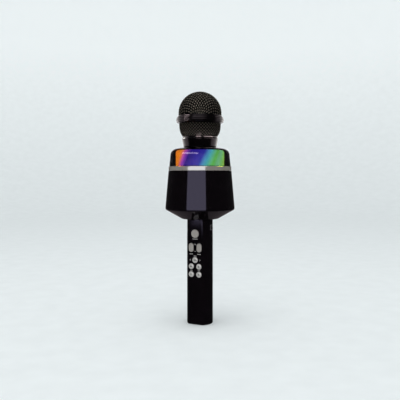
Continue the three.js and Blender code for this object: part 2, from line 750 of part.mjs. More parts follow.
/** Oval charging socket with a tongue inside. */
function usbPort() {
  const { x, y, width, height, wall } = PORTS.usb;
  const shell = solid(upright(lyingObround(x, y, width, height), PORTS.bottom, PORTS.top));
  const mouth = upright(lyingObround(x, y, width - 2 * wall, height - 2 * wall),
    PORTS.bottom - 1, PORTS.bottom + 6.2);
  const tongue = block([x - 3.3, y - 0.35, PORTS.bottom + 1], [x + 3.3, y + 0.35, PORTS.top - 1]);
  return surface(carve(shell, [mouth]).add(solid(tongue)));
}

/** Headphone socket: a sleeve with a blind bore. */
function audioJack() {
  const { radius, bore } = PORTS.jack;
  return turned([
    [0, PORTS.top], [radius, PORTS.top], [radius, PORTS.bottom], [bore, PORTS.bottom],
    [bore, PORTS.top - 1], [0, PORTS.top - 1],
  ], SMALL);
}

/** Memory card reader with a narrow slot. */
function cardReader() {
  const { x, y, width, height, slotWidth, slotHeight } = PORTS.card;
  const body = block([x - width / 2, y - height / 2, PORTS.bottom],
    [x + width / 2, y + height / 2, PORTS.top]);
  const slot = block([x - slotWidth / 2, y - slotHeight / 2, PORTS.bottom - 1],
    [x + slotWidth / 2, y + slotHeight / 2, PORTS.top - 1]);
  return surface(carve(solid(body), [slot]));
}

const portBoard = upright(flattenedCircle(10.3, 8.3), PORTS.top + 0.1, PORTS.top + 1.3, 8);
add(ports, 'port_board', portBoard, material.circuit);
add(ports, 'usb_port', usbPort(), material.steel);
add(ports, 'audio_jack', audioJack(), material.satinBlack)
  .position.set(PORTS.jack.x, PORTS.jack.y, 0);
add(ports, 'card_reader', cardReader(), material.steel);

// ---------------------------------------------------------------- wiring
/** Bundle of leads from the capsule, round the speaker and down to the main board. */
function wiringLoom() {
  const route = [
    [0, 0, 221.7], [0, 0, 207], [0, 0.5, 190], [0, 2, 172], [0, 6, 160.5], [0, 16, 157],
    [0, 25.5, 154.5], [0, 29.8, 147], [0, LOOM_HOLE.y, 136], [0, LOOM_HOLE.y, 127.7],
    [0, 28.5, 123.9], [0, 20, 121], [0, 9, 120.6], [0, 1, 118], [0, -3.2, 113], [0, -4.8, 109.4],
  ];
  const curve = new THREE.CatmullRomCurve3(route.map((point) => new THREE.Vector3(...point)));
  const section = obround(0, 0, 2.2, 2.2);
  return new THREE.ExtrudeGeometry(section, { steps: 36, extrudePath: curve, curveSegments: 2 });
}

add(model, 'wiring_loom', weld(wiringLoom()), material.wire);

export default model;
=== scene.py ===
"""Looks of the karaoke microphone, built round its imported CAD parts.

Millimetres inside the helpers, metres in Blender. +Z runs up the handle and the keys face -Y.
"""

import json
import math
from math import cos, pi, radians, sin

import bmesh
import bpy
from mathutils import Matrix, Vector, noise

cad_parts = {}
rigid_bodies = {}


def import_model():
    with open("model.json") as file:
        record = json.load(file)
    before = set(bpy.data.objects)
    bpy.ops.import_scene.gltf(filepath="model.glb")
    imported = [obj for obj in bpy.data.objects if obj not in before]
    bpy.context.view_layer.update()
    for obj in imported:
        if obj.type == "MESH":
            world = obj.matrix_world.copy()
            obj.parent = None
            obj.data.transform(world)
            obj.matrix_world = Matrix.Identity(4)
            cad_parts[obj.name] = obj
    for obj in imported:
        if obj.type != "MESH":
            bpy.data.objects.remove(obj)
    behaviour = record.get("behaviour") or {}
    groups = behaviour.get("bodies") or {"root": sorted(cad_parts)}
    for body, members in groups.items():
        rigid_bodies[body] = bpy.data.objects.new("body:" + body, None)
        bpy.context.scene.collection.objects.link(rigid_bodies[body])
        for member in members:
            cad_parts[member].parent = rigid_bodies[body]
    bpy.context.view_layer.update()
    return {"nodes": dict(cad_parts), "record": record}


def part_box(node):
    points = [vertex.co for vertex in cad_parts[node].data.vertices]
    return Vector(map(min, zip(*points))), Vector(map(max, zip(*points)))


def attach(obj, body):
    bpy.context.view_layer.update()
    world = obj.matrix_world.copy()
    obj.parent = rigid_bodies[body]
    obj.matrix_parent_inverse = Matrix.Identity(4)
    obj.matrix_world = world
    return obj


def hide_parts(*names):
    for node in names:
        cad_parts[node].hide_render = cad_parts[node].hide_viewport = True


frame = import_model()

MM = 0.001
ROUND = 128                    # facets round a large turned part
FINE = 64                      # facets round a small turned part
CAMERA_AZIMUTH = 27.0          # degrees from the keys' side towards the power switch


def corners(node):
    """Lowest and highest corner of a CAD node, in millimetres."""
    return [[c / MM for c in corner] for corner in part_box(node)]


def extent(node):
    """Bottom, top and outer radius of a CAD node, in millimetres."""
    low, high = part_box(node)
    return low.z / MM, high.z / MM, (high.x - low.x) / 2 / MM


def middle(node, across=0, up=2):
    """Centre of a CAD node along two of the axes and its size along them, in millimetres."""
    low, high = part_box(node)
    return ((low[across] + high[across]) / 2 / MM, (low[up] + high[up]) / 2 / MM,
            (high[across] - low[across]) / MM, (high[up] - low[up]) / MM)


def plan(node):
    """Centre of a CAD node in x and y and its size along them, in millimetres."""
    return middle(node, 0, 1)


DOME_BOTTOM, TOP, DOME_RADIUS = extent("grille_dome")
DOME_CENTRE = TOP - DOME_RADIUS
BAND_BOTTOM, BAND_TOP, _ = extent("grille_band")
BASKET_BOTTOM, BASKET_TOP, _ = extent("grille_basket")
COLLAR_BOTTOM, COLLAR_TOP, _ = extent("neck_collar")
COVER_BOTTOM, COVER_TOP, COVER_RADIUS = extent("lamp_cover")
LIGHT_BOTTOM, LIGHT_TOP, LIGHT_RADIUS = extent("light_diffuser")
TRIM_BOTTOM, TRIM_TOP, TRIM_RADIUS = extent("trim_ring")
HOUSING_BOTTOM, HOUSING_TOP, HOUSING_RADIUS = extent("speaker_housing")
OUTLET_BOTTOM, OUTLET_TOP, OUTLET_RADIUS = extent("outlet_ring")
HANDLE_BOTTOM, HANDLE_TOP, FLANGE_RADIUS = extent("handle_front")
CAP_BOTTOM, CAP_TOP, GRIP_RADIUS = extent("end_cap")
GRIP_FLAT = 11.3               # how far in front of the axis the handle's flat lies
SEAM = 0.1                     # half the gap between the handle's shells
CORNER_EASE = 200              # the larger, the sharper the corner where the flat meets the round
CORNER_STEPS = (-3, -2, -1.4, -0.8, -0.3, 0.3, 0.8, 1.4, 2, 3)     # degrees from such a corner

# ---- meshes


def added(name, data):
    """A new object in the scene."""
    obj = bpy.data.objects.new(name, data)
    bpy.context.scene.collection.objects.link(obj)
    return obj


def shade(obj, smooth):
    """Shades all faces of an object as smooth or as flat."""
    for polygon in obj.data.polygons:
        polygon.use_smooth = smooth
    return obj


def mesh_object(name, verts, faces, smooth=True):
    """A new object from vertices in millimetres, with its faces turned outwards."""
    mesh = bpy.data.meshes.new(name)
    mesh.from_pydata([[c * MM for c in v] for v in verts], [], faces)
    bm = bmesh.new()
    bm.from_mesh(mesh)
    bmesh.ops.remove_doubles(bm, verts=bm.verts, dist=1e-3 * MM)
    bmesh.ops.recalc_face_normals(bm, faces=bm.faces)
    for face in bm.faces:
        face.smooth = smooth
    bm.to_mesh(mesh)
    bm.free()
    return added(name, mesh)


def bake_modifiers(obj):
    """Replaces an object's mesh with the result of its modifiers."""
    view = bpy.context.evaluated_depsgraph_get()
    mesh = bpy.data.meshes.new_from_object(obj.evaluated_get(view))
    obj.modifiers.clear()
    obj.data = mesh
    return obj


def combine(obj, operation, tools):
    """Unites or cuts an object with other objects, which are used up."""
    for tool in tools:
        change = obj.modifiers.new("shape", "BOOLEAN")
        change.operation = operation
        change.solver = "EXACT"
        change.object = tool
    bake_modifiers(obj)
    for tool in tools:
        bpy.data.objects.remove(tool)
    return obj


def cut(obj, tools):
    return combine(obj, "DIFFERENCE", tools)


def unite(obj, tools):
    return combine(obj, "UNION", tools)


def soften(obj, width, segments=2, angle=32):
    """Bevels an object's sharp edges."""
    bevel = obj.modifiers.new("edges", "BEVEL")
    bevel.width = width * MM
    bevel.segments = segments
    bevel.limit_method = "ANGLE"
    bevel.angle_limit = radians(angle)
    return shade(bake_modifiers(obj), True)


def level_normals(obj, strength=100):
    """Lets the large faces rule the shading, so that rounded edges don't bend it."""
    weight = obj.modifiers.new("normals", "WEIGHTED_NORMAL")
    weight.mode = "FACE_AREA"
    weight.weight = strength
    return obj


def filleted(points, radius, steps=3, closed=True):
    """An outline with its corners rounded. A point may carry its own radius as a third number."""
    out = []
    count = len(points)
    for i, point in enumerate(points):
        here = Vector(point[:2])
        want = point[2] if len(point) > 2 else radius
        if not closed and i in (0, count - 1):
            out.append(tuple(here))
            continue
        back = Vector(points[i - 1][:2]) - here
        ahead = Vector(points[(i + 1) % count][:2]) - here
        turn = pi - back.angle(ahead)
        if turn < radians(12) or want <= 0:
            out.append(tuple(here))
            continue
        reach = min(want * math.tan(turn / 2), 0.45 * back.length, 0.45 * ahead.length)
        start = here + back.normalized() * reach
        end = here + ahead.normalized() * reach
        for step in range(steps + 1):
            t = step / steps
            out.append(tuple(start * (1 - t) ** 2 + here * 2 * t * (1 - t) + end * t ** 2))
    return out


def polar(reach, angle):
    """A point at a distance from the axis, at an angle in radians."""
    return reach * cos(angle), reach * sin(angle)


def arc(centre_r, centre_z, radius, start, end, steps):
    """Points on an arc, with angles in degrees from the outward direction."""
    points = []
    for i in range(steps + 1):
        angle = radians(start + (end - start) * i / steps)
        points.append((centre_r + radius * cos(angle), centre_z + radius * sin(angle), 0))
    return points


def lathe(name, outline, segments=ROUND, closed=True):
    """A turned part about the axis, from (radius, height) points.

    An outline that isn't closed starts and ends on the axis.
    """
    verts = []
    rings = []
    for radius, height in (point[:2] for point in outline):
        first = len(verts)
        if radius < 1e-6:
            verts.append((0, 0, height))
            rings.append([first] * segments)
            continue
        for k in range(segments):
            verts.append((*polar(radius, 2 * pi * k / segments), height))
        rings.append(list(range(first, first + segments)))
    faces = []
    pairs = list(zip(rings, rings[1:] + rings[:1]))
    if not closed:
        pairs.pop()
    for low, high in pairs:
        for k in range(segments):
            n = (k + 1) % segments
            corners = [low[k], low[n], high[n], high[k]]
            distinct = list(dict.fromkeys(corners))
            if len(distinct) > 2:
                faces.append(distinct)
    return mesh_object(name, verts, faces)


def turned(name, outline, segments=ROUND, radius=0.25):
    """A lathe part with rounded corners and level shading."""
    return level_normals(lathe(name, filleted(outline, radius), segments))


def skin(count, rings, first=0):
    """Faces between rings of vertices that follow one another, each of the same count."""
    faces = []
    for level in range(rings - 1):
        base = first + level * count
        for k in range(count):
            n = (k + 1) % count
            faces.append([base + k, base + n, base + count + n, base + count + k])
    return faces


def caps(count, rings, first=0):
    """Faces that close the first and the last of such rings."""
    last = first + (rings - 1) * count
    return [list(range(first, first + count)), list(range(last, last + count))]


def loft(name, sections, heights):
    """A solid through plan outlines of equal length, one at each height."""
    count, rings = len(sections[0]), len(sections)
    verts = []
    for section, height in zip(sections, heights):
        verts += [(x, y, height) for x, y in section]
    return mesh_object(name, verts, skin(count, rings) + caps(count, rings))


def post(name, outline, low, high):
    """An upright solid of one plan outline between two heights."""
    return loft(name, [outline, outline], (low, high))


def prism(name, outline, front, back):
    """A plate facing the front, from an (x, z) outline, between two depths in front of the axis."""
    count = len(outline)
    verts = [(x, -front, z) for x, z in outline] + [(x, -back, z) for x, z in outline]
    return mesh_object(name, verts, skin(count, 2) + caps(count, 2))


def box(name, low, high):
    """A block from its lowest to its highest corner."""
    verts = [(x, y, z) for x in (low[0], high[0]) for y in (low[1], high[1]) for z in (low[2], high[2])]
    faces = [[0, 1, 3, 2], [4, 6, 7, 5], [0, 4, 5, 1], [2, 3, 7, 6], [0, 2, 6, 4], [1, 5, 7, 3]]
    return mesh_object(name, verts, faces, smooth=False)


def stand(obj, place_at, quarter=0, axis="X"):
    """Turns a mesh by a quarter, one way or the other, and moves its origin to a place in millimetres."""
    turn = Matrix.Rotation(quarter * pi / 2, 4, axis)
    obj.data.transform(Matrix.Translation([c * MM for c in place_at]) @ turn)
    return obj


def circle(x, y, radius, count=FINE):
    turns = [2 * pi * k / count for k in range(count)]
    return [(x + radius * cos(turn), y + radius * sin(turn)) for turn in turns]


def obround(x, y, width, height, count=24):
    """A round-ended outline, long in whichever direction is the larger."""
    radius = min(width, height) / 2
    reach_x = width / 2 - radius
    reach_y = height / 2 - radius
    points = []
    for side, start in ((1, -90 if reach_x else 0), (-1, 90 if reach_x else 180)):
        for k in range(count + 1):
            angle = radians(start + 180 * k / count)
            points.append((x + side * reach_x + radius * cos(angle),
                           y + side * reach_y + radius * sin(angle)))
    return points


def oblong(x, y, width, height, corner=0.25):
    """A rectangle with eased corners."""
    points = []
    for sx, sy, start in ((1, 1, 0), (-1, 1, 90), (-1, -1, 180), (1, -1, 270)):
        for k in range(4):
            angle = radians(start + 30 * k)
            points.append((x + sx * (width / 2 - corner) + corner * cos(angle),
                           y + sy * (height / 2 - corner) + corner * sin(angle)))
    return points


def handle_angles(end, first_corner):
    """Angles of the handle's outline in degrees, set close together at the two corners of its flat."""
    corner = math.degrees(math.asin(GRIP_FLAT / GRIP_RADIUS))
    angles = {float(a) for a in range(0, end, 4)}
    for centre in (first_corner + corner, first_corner + 180 - corner):
        angles |= {centre + step for step in CORNER_STEPS}
    return sorted(angles)


def flat_reach(radius, flat, angle):
    """Distance of the flattened outline from the axis, with its corner a little eased."""
    return (radius ** -CORNER_EASE + (flat / sin(angle)) ** -CORNER_EASE) ** (-1 / CORNER_EASE)


def shell_section(outer, outer_flat, inner, inner_flat, side):
    """Plan outline of half the handle. Side is -1 for the front half, which has the flat, or 1."""
    outline = []
    for radius, flat, order in ((outer, outer_flat, False), (inner, inner_flat, True)):
        half = []
        for turn in handle_angles(181, 0):
            angle = radians(turn)
            reach = radius
            if side < 0 and flat and 0 < turn < 180:
                reach = flat_reach(radius, flat, angle)
            half.append((reach * cos(angle), side * reach * sin(angle)))
        edge = math.sqrt(radius ** 2 - SEAM ** 2)
        half[0] = (edge, side * SEAM)
        half[-1] = (-edge, side * SEAM)
        outline += half[::-1] if order else half
    return outline


def whole_section(radius, flat):
    """Plan outline of the whole handle."""
    points = []
    for turn in handle_angles(360, 180):
        angle = radians(turn)
        reach = flat_reach(radius, -flat, angle) if turn > 180 else radius
        points.append(polar(reach, angle))
    return points


def place(obj, body, slot, *nodes, look=None):
    """Rides a piece on its body, gives it the material of its slot or its own, and hides the CAD nodes it
    stands in for.
    """
    obj.data.materials.clear()
    obj.data.materials.append(LOOKS[look or slot])
    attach(obj, body)
    if nodes:
        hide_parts(*nodes)
    return obj


# ---- materials


def fill_in(tree, node, inputs):
    """Sets a node's inputs, each to a value or to another node's output."""
    for key, value in inputs.items():
        if isinstance(value, bpy.types.NodeSocket):
            tree.links.new(value, node.inputs[key])
        else:
            node.inputs[key].default_value = value


def put(tree, kind, inputs=None, **settings):
    """Adds a shader node."""
    made = tree.nodes.new("ShaderNode" + kind)
    for key, value in settings.items():
        setattr(made, key, value)
    fill_in(tree, made, inputs or {})
    return made


def new_look(name):
    """An empty material: its nodes, its one Principled shader and the place on the object."""
    look = bpy.data.materials.new(name)
    look.use_nodes = True
    tree = look.node_tree
    tree.nodes.clear()
    output = put(tree, "OutputMaterial")
    shader = put(tree, "BsdfPrincipled")
    tree.links.new(shader.outputs[0], output.inputs[0])
    place_at = put(tree, "TexCoord").outputs["Object"]
    return look, tree, shader, place_at


def hexed(code):
    """Scene-linear colour of an sRGB code such as 3f3d4c."""
    parts = [int(code[i:i + 2], 16) / 255 for i in (0, 2, 4)]
    return tuple(c / 12.92 if c <= 0.04045 else ((c + 0.055) / 1.055) ** 2.4 for c in parts) + (1,)


def ramp(tree, factor, stops):
    """A colour ramp from (place, colour) stops."""
    made = put(tree, "ValToRGB", {"Fac": factor})
    elements = made.color_ramp.elements
    while len(elements) < len(stops):
        elements.new(0.5)
    for element, (place_at, color) in zip(elements, stops):
        element.position = place_at
        element.color = color
    return made.outputs["Color"]


def blended(tree, factor, first, second):
    """A mix of two colours."""
    made = put(tree, "Mix", {0: factor, 6: first, 7: second}, data_type="RGBA")
    return made.outputs[2]


def calc(tree, operation, first, second):
    """One step of arithmetic on two values."""
    return put(tree, "Math", {0: first, 1: second}, operation=operation).outputs[0]


def vector_calc(tree, operation, first, second, output="Value"):
    """One step of arithmetic on two vectors."""
    return put(tree, "VectorMath", {0: first, 1: second}, operation=operation).outputs[output]


def spread(tree, value, low, high, to_low=0.0, to_high=1.0):
    """A value carried over from one range to another, and held at its ends."""
    return put(tree, "MapRange", {"Value": value, "From Min": low, "From Max": high,
                                  "To Min": to_low, "To Max": to_high}).outputs["Result"]


def mottle(tree, place_at, size, detail=3.0):
    """Noise with lumps of about a size in millimetres."""
    return put(tree, "TexNoise", {"Vector": place_at, "Scale": 1 / (size * MM),
                                  "Detail": detail}).outputs["Fac"]


def relief(tree, height, depth):
    """Bent normals for a height, up to a depth in millimetres."""
    return put(tree, "Bump", {"Height": height, "Strength": 1.0, "Distance": depth * MM}).outputs["Normal"]


def surface(name, dark, light, rough, metallic=0.0, grain=0.6, stretch=(1, 1, 1), bump=0.01,
            pattern="noise", cloud=14.0, specular=0.5, tint=(1, 1, 1)):
    """A solid finish: fine grain, cloudy variation, and both in its colour, roughness and relief."""
    look, tree, shader, place_at = new_look(name)
    fine_at = put(tree, "Mapping", {"Vector": place_at,
                                    "Scale": [s / (grain * MM) for s in stretch]}).outputs["Vector"]
    if pattern == "noise":
        fine = put(tree, "TexNoise", {"Vector": fine_at, "Scale": 1.0, "Detail": 5.0,
                                      "Roughness": 0.6}).outputs["Fac"]
    elif pattern == "cells":
        fine = put(tree, "TexVoronoi", {"Vector": fine_at, "Scale": 1.0},
                   feature="DISTANCE_TO_EDGE").outputs["Distance"]
    else:
        fine = put(tree, "TexWave", {"Vector": fine_at, "Scale": 1.0, "Distortion": 0.4},
                   bands_direction="Z").outputs["Fac"]
    broad = mottle(tree, place_at, cloud)
    both = put(tree, "Mix", {"Factor": 0.5, "A": fine, "B": broad}).outputs["Result"]
    fill_in(tree, shader, {"Base Color": ramp(tree, both, [(0.3, hexed(dark)), (0.7, hexed(light))]),
                           "Roughness": spread(tree, both, 0.3, 0.7, *rough),
                           "Normal": relief(tree, fine, bump), "Metallic": metallic,
                           "Specular IOR Level": specular, "Specular Tint": (*tint, 1)})
    return look


TURNED = (0.03, 0.03, 1)       # stretches grain into fine lines round the axis
UPRIGHT = (1, 1, 0.04)         # stretches grain into fine lines along the axis

FINISHES = {                   # darkest and lightest colour, range of roughness, and the rest by name
    "grille_trim": ("1d191c", "3a3437", (0.12, 0.24),
                    dict(metallic=0.95, grain=0.12, stretch=TURNED, bump=0.002)),
    "collar_metal": ("151114", "282226", (0.14, 0.22),
                     dict(metallic=0.95, grain=0.12, stretch=TURNED, bump=0.002)),
    "foam": ("000000", "030303", (0.9, 1.0), dict(grain=0.7, bump=0.3, pattern="cells", specular=0.2)),
    "rubber": ("0c0c0c", "1d1c1c", (0.7, 0.85), dict(grain=0.2)),
    "capsule_metal": ("8c8c8c", "c2c2c0", (0.25, 0.4),
                      dict(metallic=1.0, grain=0.2, stretch=UPRIGHT, bump=0.004)),
    "black_plastic": ("0b0a0b", "1b191b", (0.45, 0.6), dict(grain=0.22, bump=0.012)),
    "circuit_board": ("0b2e1a", "1f6a3c", (0.3, 0.5), dict(grain=1.4, bump=0.02, pattern="cells")),
    "silver_trim": ("bab0a5", "c6bcb0", (0.09, 0.15),
                    dict(metallic=0.63, grain=0.14, stretch=TURNED, bump=0.0008)),
    "gloss_black": ("050304", "090607", (0.05, 0.09),
                    dict(grain=1.6, bump=0.0012, cloud=30.0, tint=(0.74, 0.69, 1.0))),
    "steel": ("77777a", "b4b4b6", (0.28, 0.42), dict(metallic=1.0, grain=0.3, bump=0.006)),
    "paper": ("0e0d0d", "262422", (0.8, 0.95), dict(grain=0.5, bump=0.04)),
    "copper": ("7a3d1c", "d08a4c", (0.25, 0.4), dict(metallic=1.0, grain=0.22, bump=0.05, pattern="rings")),
    "key": ("958f89", "aea8a1", (0.34, 0.48), dict(metallic=0.3, grain=0.16, bump=0.006)),
    "cell_wrap": ("1d4f86", "3f86c4", (0.25, 0.4), dict(grain=2.5)),
    "wire_sleeve": ("4a0f10", "a82a2a", (0.4, 0.55), dict(grain=1.2, bump=0.15, pattern="rings")),
    "bezel": ("5e5a5c", "787476", (0.3, 0.42), dict(metallic=0.6, grain=0.16, bump=0.004)),
    "bright_key": ("c6c2bd", "dfdbd6", (0.2, 0.3), dict(metallic=0.45, grain=0.16, bump=0.004)),
    "legend": ("8a8784", "b8b5b0", (0.5, 0.65), dict(grain=0.2, bump=0.004)),
}
LOOKS = {name: surface(name, *main, **others) for name, (*main, others) in FINISHES.items()}


def clear_look():
    """Faintly smoked clear plastic with a polished face."""
    look, tree, shader, place_at = new_look("clear_cover")
    haze = mottle(tree, place_at, 9)
    fill_in(tree, shader, {"Base Color": ramp(tree, haze, [(0.3, hexed("332b30")), (0.7, hexed("373034"))]),
                           "Roughness": 0.02, "Transmission Weight": 1.0, "Specular IOR Level": 0.2,
                           "IOR": 1.49})
    return look


LIGHT_TURN = 27.0              # how far round from the keys' side the sequence of colours is turned
GLOW_STOPS = [                 # degrees round from there, and the colour
    (-180, "d8431c"), (-120, "dd6a1c"), (-85, "dc861f"), (-58, "d88a22"), (-50, "cf7c58"), (-44, "ab54aa"),
    (-37, "6c3ca2"), (-29, "261a80"), (-10, "2b2592"), (4, "2d379a"), (12, "4690ba"), (20, "46b4b0"),
    (30, "58b878"), (38, "56b848"), (50, "68c084"), (65, "6cc05c"), (105, "9ad030"), (150, "dcbc20"),
    (180, "d8431c"),
]
GLOW_SLANT = 1.2               # degrees that each colour boundary moves round per millimetre of height
GLOW_LEVEL = 178.0             # height at which the stops above hold
GLOW_RIM = (24.0, 25.6)        # radii between which the glow fades in at the top
GLOW_FOOT = (26.6, 27.4)       # radii between which it fades out at the flange
GLOW_STRENGTH = 30.0           # how bright it is, enough to show through the smoked cover


def glow_look():
    """Milky plastic lit from inside: colours run round it on a slant, and it darkens at its rim."""
    look, tree, shader, place_at = new_look("light_diffuser")
    height = put(tree, "SeparateXYZ", {"Vector": place_at}).outputs["Z"]
    turn = radians(LIGHT_TURN)
    ahead = vector_calc(tree, "DOT_PRODUCT", place_at, (sin(turn), -cos(turn), 0))
    aside = vector_calc(tree, "DOT_PRODUCT", place_at, (cos(turn), sin(turn), 0))
    angle = calc(tree, "ARCTAN2", aside, ahead)
    lift = calc(tree, "SUBTRACT", height, GLOW_LEVEL * MM)
    lean = calc(tree, "MULTIPLY", lift, radians(GLOW_SLANT) / MM)
    share = spread(tree, calc(tree, "SUBTRACT", angle, lean), -pi, pi)
    color = ramp(tree, share, [((bearing + 180) / 360, hexed(code)) for bearing, code in GLOW_STOPS])
    sideways = vector_calc(tree, "MULTIPLY", place_at, (1, 1, 0), "Vector")
    radius = put(tree, "VectorMath", {0: sideways}, operation="LENGTH").outputs["Value"]
    rim = spread(tree, radius, *[r * MM for r in GLOW_RIM])
    foot = spread(tree, radius, *[r * MM for r in GLOW_FOOT], 1.0, 0.0)
    cloudy = spread(tree, mottle(tree, place_at, 6, 4.0), 0.0, 1.0, 0.85, 1.15)
    strength = calc(tree, "MULTIPLY", calc(tree, "MULTIPLY", rim, foot), cloudy)
    fill_in(tree, shader, {"Emission Color": color,
                           "Emission Strength": calc(tree, "MULTIPLY", strength, GLOW_STRENGTH),
                           "Base Color": blended(tree, 0.75, color, hexed("202028")), "Roughness": 0.35})
    return look


def wire_look_with_painted_glints(name, sheet, painted_glint_color):
    """Near-black wires with a painted highlight where they stand proud, standing in for glints on their
    crests.

    Sheet lists heights and the outer radius of the woven sheet at each.
    """
    look, tree, shader, place_at = new_look(name)
    axes = put(tree, "SeparateXYZ", {"Vector": place_at}).outputs
    lift = calc(tree, "SUBTRACT", axes["Z"], DOME_CENTRE * MM)
    above = calc(tree, "MAXIMUM", lift, 0.0)
    arm = put(tree, "CombineXYZ", {"X": axes["X"], "Y": axes["Y"], "Z": above}).outputs[0]
    reach = put(tree, "VectorMath", {0: arm}, operation="LENGTH").outputs["Value"]
    low, high = sheet[0][0], sheet[-1][0]
    stops = [((z - low) / (high - low), (r / RADIUS_UNIT, r / RADIUS_UNIT, r / RADIUS_UNIT, 1))
             for z, r in sheet]
    share = ramp(tree, spread(tree, axes["Z"], low * MM, high * MM), stops)
    proud = calc(tree, "SUBTRACT", reach, calc(tree, "MULTIPLY", share, RADIUS_UNIT * MM))
    grain = mottle(tree, place_at, 0.5)
    uneven = spread(tree, grain, 0.3, 0.7, -PAINTED_GLINT_WANDER * MM, PAINTED_GLINT_WANDER * MM)
    # painted highlight on the wires' crests, in place of glints, with the rest of each wire near black
    painted_glint = spread(tree, calc(tree, "ADD", proud, uneven), *[height * MM for height in PAINTED_GLINT_HEIGHTS])
    fill_in(tree, shader, {"Base Color": blended(tree, painted_glint, hexed("070605"), hexed(painted_glint_color)),
                           "Normal": relief(tree, grain, 0.01), "Metallic": 0.6, "Roughness": 0.28})
    return look


RADIUS_UNIT = 30               # radius that stands for white in the ramp of a woven sheet's radius
PAINTED_GLINT_HEIGHTS = (-0.31, -0.1)           # heights against the sheet's outer face, near black below and painted highlight above
PAINTED_GLINT_WANDER = 0.05             # how far the painted highlight's edge wanders up and down
DOME_SHEET = [(DOME_BOTTOM, DOME_RADIUS), (DOME_CENTRE, DOME_RADIUS)]
BASKET_SHEET = [(BASKET_BOTTOM, 19.0), (203.2, 20.2), (205.4, 21.3), (208.2, 22.1), (211.8, 22.5),
                (BASKET_TOP, 22.7)]
# the last colour of each is the painted highlight on the crests of the wires
LOOKS["grille_wire"] = wire_look_with_painted_glints("grille_wire", DOME_SHEET, "b3a899")
LOOKS["basket_wire"] = wire_look_with_painted_glints("basket_wire", BASKET_SHEET, "8f857a")
LOOKS["clear_cover"] = clear_look()
LOOKS["light_diffuser"] = glow_look()

# ---- woven grilles

WIRE = 0.44                    # radius of a grille wire
PITCH = 2.9                    # distance between wires of the dome
CRIMP = WIRE * 0.86            # how far a wire swings to each side as it passes over and under
MESH_DEPTH = WIRE + CRIMP      # half the depth of the woven sheet
BASKET_WIRES = 42              # wires in each of the two families of the lower grille
WIRE_SIDES = 6
WIRE_STEPS = 3                 # straight pieces between two crossings


def smooth_path(points, steps):
    """Points on a curve through the given points."""
    out = []
    for i in range(len(points) - 1):
        before = points[max(i - 1, 0)]
        start, end = points[i], points[i + 1]
        after = points[min(i + 2, len(points) - 1)]
        bend = 2 * before - 5 * start + 4 * end - after
        twist = 3 * start - before - 3 * end + after
        for k in range(steps):
            t = k / steps
            out.append(0.5 * (2 * start + (end - before) * t + bend * t ** 2 + twist * t ** 3))
    out.append(points[-1])
    return out


def trimmed(path, lowest):
    """The stretch of a path that lies above a height, cut exactly at it."""
    kept = []
    for here, ahead in zip(path, path[1:]):
        if here.z >= lowest:
            kept.append(here)
        if (here.z >= lowest) != (ahead.z >= lowest):
            kept.append(here.lerp(ahead, (lowest - here.z) / (ahead.z - here.z)))
    if path[-1].z >= lowest:
        kept.append(path[-1])
    return kept


def wires(name, paths, outward):
    """One mesh of round wires along paths. Outward gives the direction away from the sheet at a point."""
    verts = []
    faces = []
    for path in paths:
        first = len(verts)
        for i, point in enumerate(path):
            along = (path[min(i + 1, len(path) - 1)] - path[max(i - 1, 0)]).normalized()
            up = outward(point)
            across = along.cross(up).normalized()
            up = across.cross(along)
            for side in range(WIRE_SIDES):
                angle = 2 * pi * side / WIRE_SIDES
                verts.append(tuple(point + WIRE * (cos(angle) * up + sin(angle) * across)))
        faces += skin(WIRE_SIDES, len(path), first) + caps(WIRE_SIDES, len(path), first)
    return mesh_object(name, verts, faces)


def dome_paths():
    """Wires of a square weave pressed over a ball.

    They follow a net of equal steps from the pole, which is carried on down the skirt.
    """
    radius = DOME_RADIUS - MESH_DEPTH
    step = PITCH / radius
    reach = int(radians(112) / step)
    net = {}
    for i in range(reach + 1):
        net[i, 0] = Vector((sin(i * step), 0, cos(i * step)))
        net[0, i] = Vector((0, sin(i * step), cos(i * step)))
    for i in range(1, reach + 1):
        for j in range(1, reach + 1):
            halfway = (net[i, j - 1] + net[i - 1, j]).normalized()
            corner = net[i - 1, j - 1]
            net[i, j] = 2 * corner.dot(halfway) * halfway - corner
    spin = Matrix.Rotation(radians(CAMERA_AZIMUTH - 90 + 45), 3, "Z")

    def crossing(i, j, rise):
        """A point of the net, raised or lowered for a wire that passes over or under there."""
        ball = net[abs(i), abs(j)].copy()
        ball.x *= 1 if i > 0 else -1
        ball.y *= 1 if j > 0 else -1
        tilt = math.acos(max(-1, min(1, ball.z)))
        flat = Vector((ball.x, ball.y, 0)).normalized() if tilt > 1e-6 else Vector((1, 0, 0))
        depth = radius + CRIMP * rise
        if tilt > pi / 2:
            point = flat * depth - Vector((0, 0, radius * (tilt - pi / 2)))
        else:
            point = ball * depth
        return spin @ point + Vector((0, 0, DOME_CENTRE))

    def runs(make):
        """Each wire of one family, as far as the net stays near the dome."""
        found = []
        for row in range(-reach, reach + 1):
            line = [(k, make(k, row)) for k in range(-reach, reach + 1)]
            inside = [k for k, p in line if p.z > DOME_BOTTOM - 2.5 and abs(k) + 0.25 * abs(row) < reach + 1]
            if 0 not in inside:
                continue
            low = high = 0
            while low - 1 in inside:
                low -= 1
            while high + 1 in inside:
                high += 1
            points = [p for k, p in line if low - 1 <= k <= high + 1]
            path = trimmed(smooth_path(points, WIRE_STEPS), DOME_BOTTOM + 0.1)
            if len(path) > 2:
                found.append(path)
        return found

    def over(i, j):
        """1 where a wire of the first family passes over, and -1 where it passes under."""
        return 1 if (i + j) % 2 == 0 else -1

    return (runs(lambda k, row: crossing(k, row, over(k, row)))
            + runs(lambda k, row: crossing(row, k, -over(k, row))))


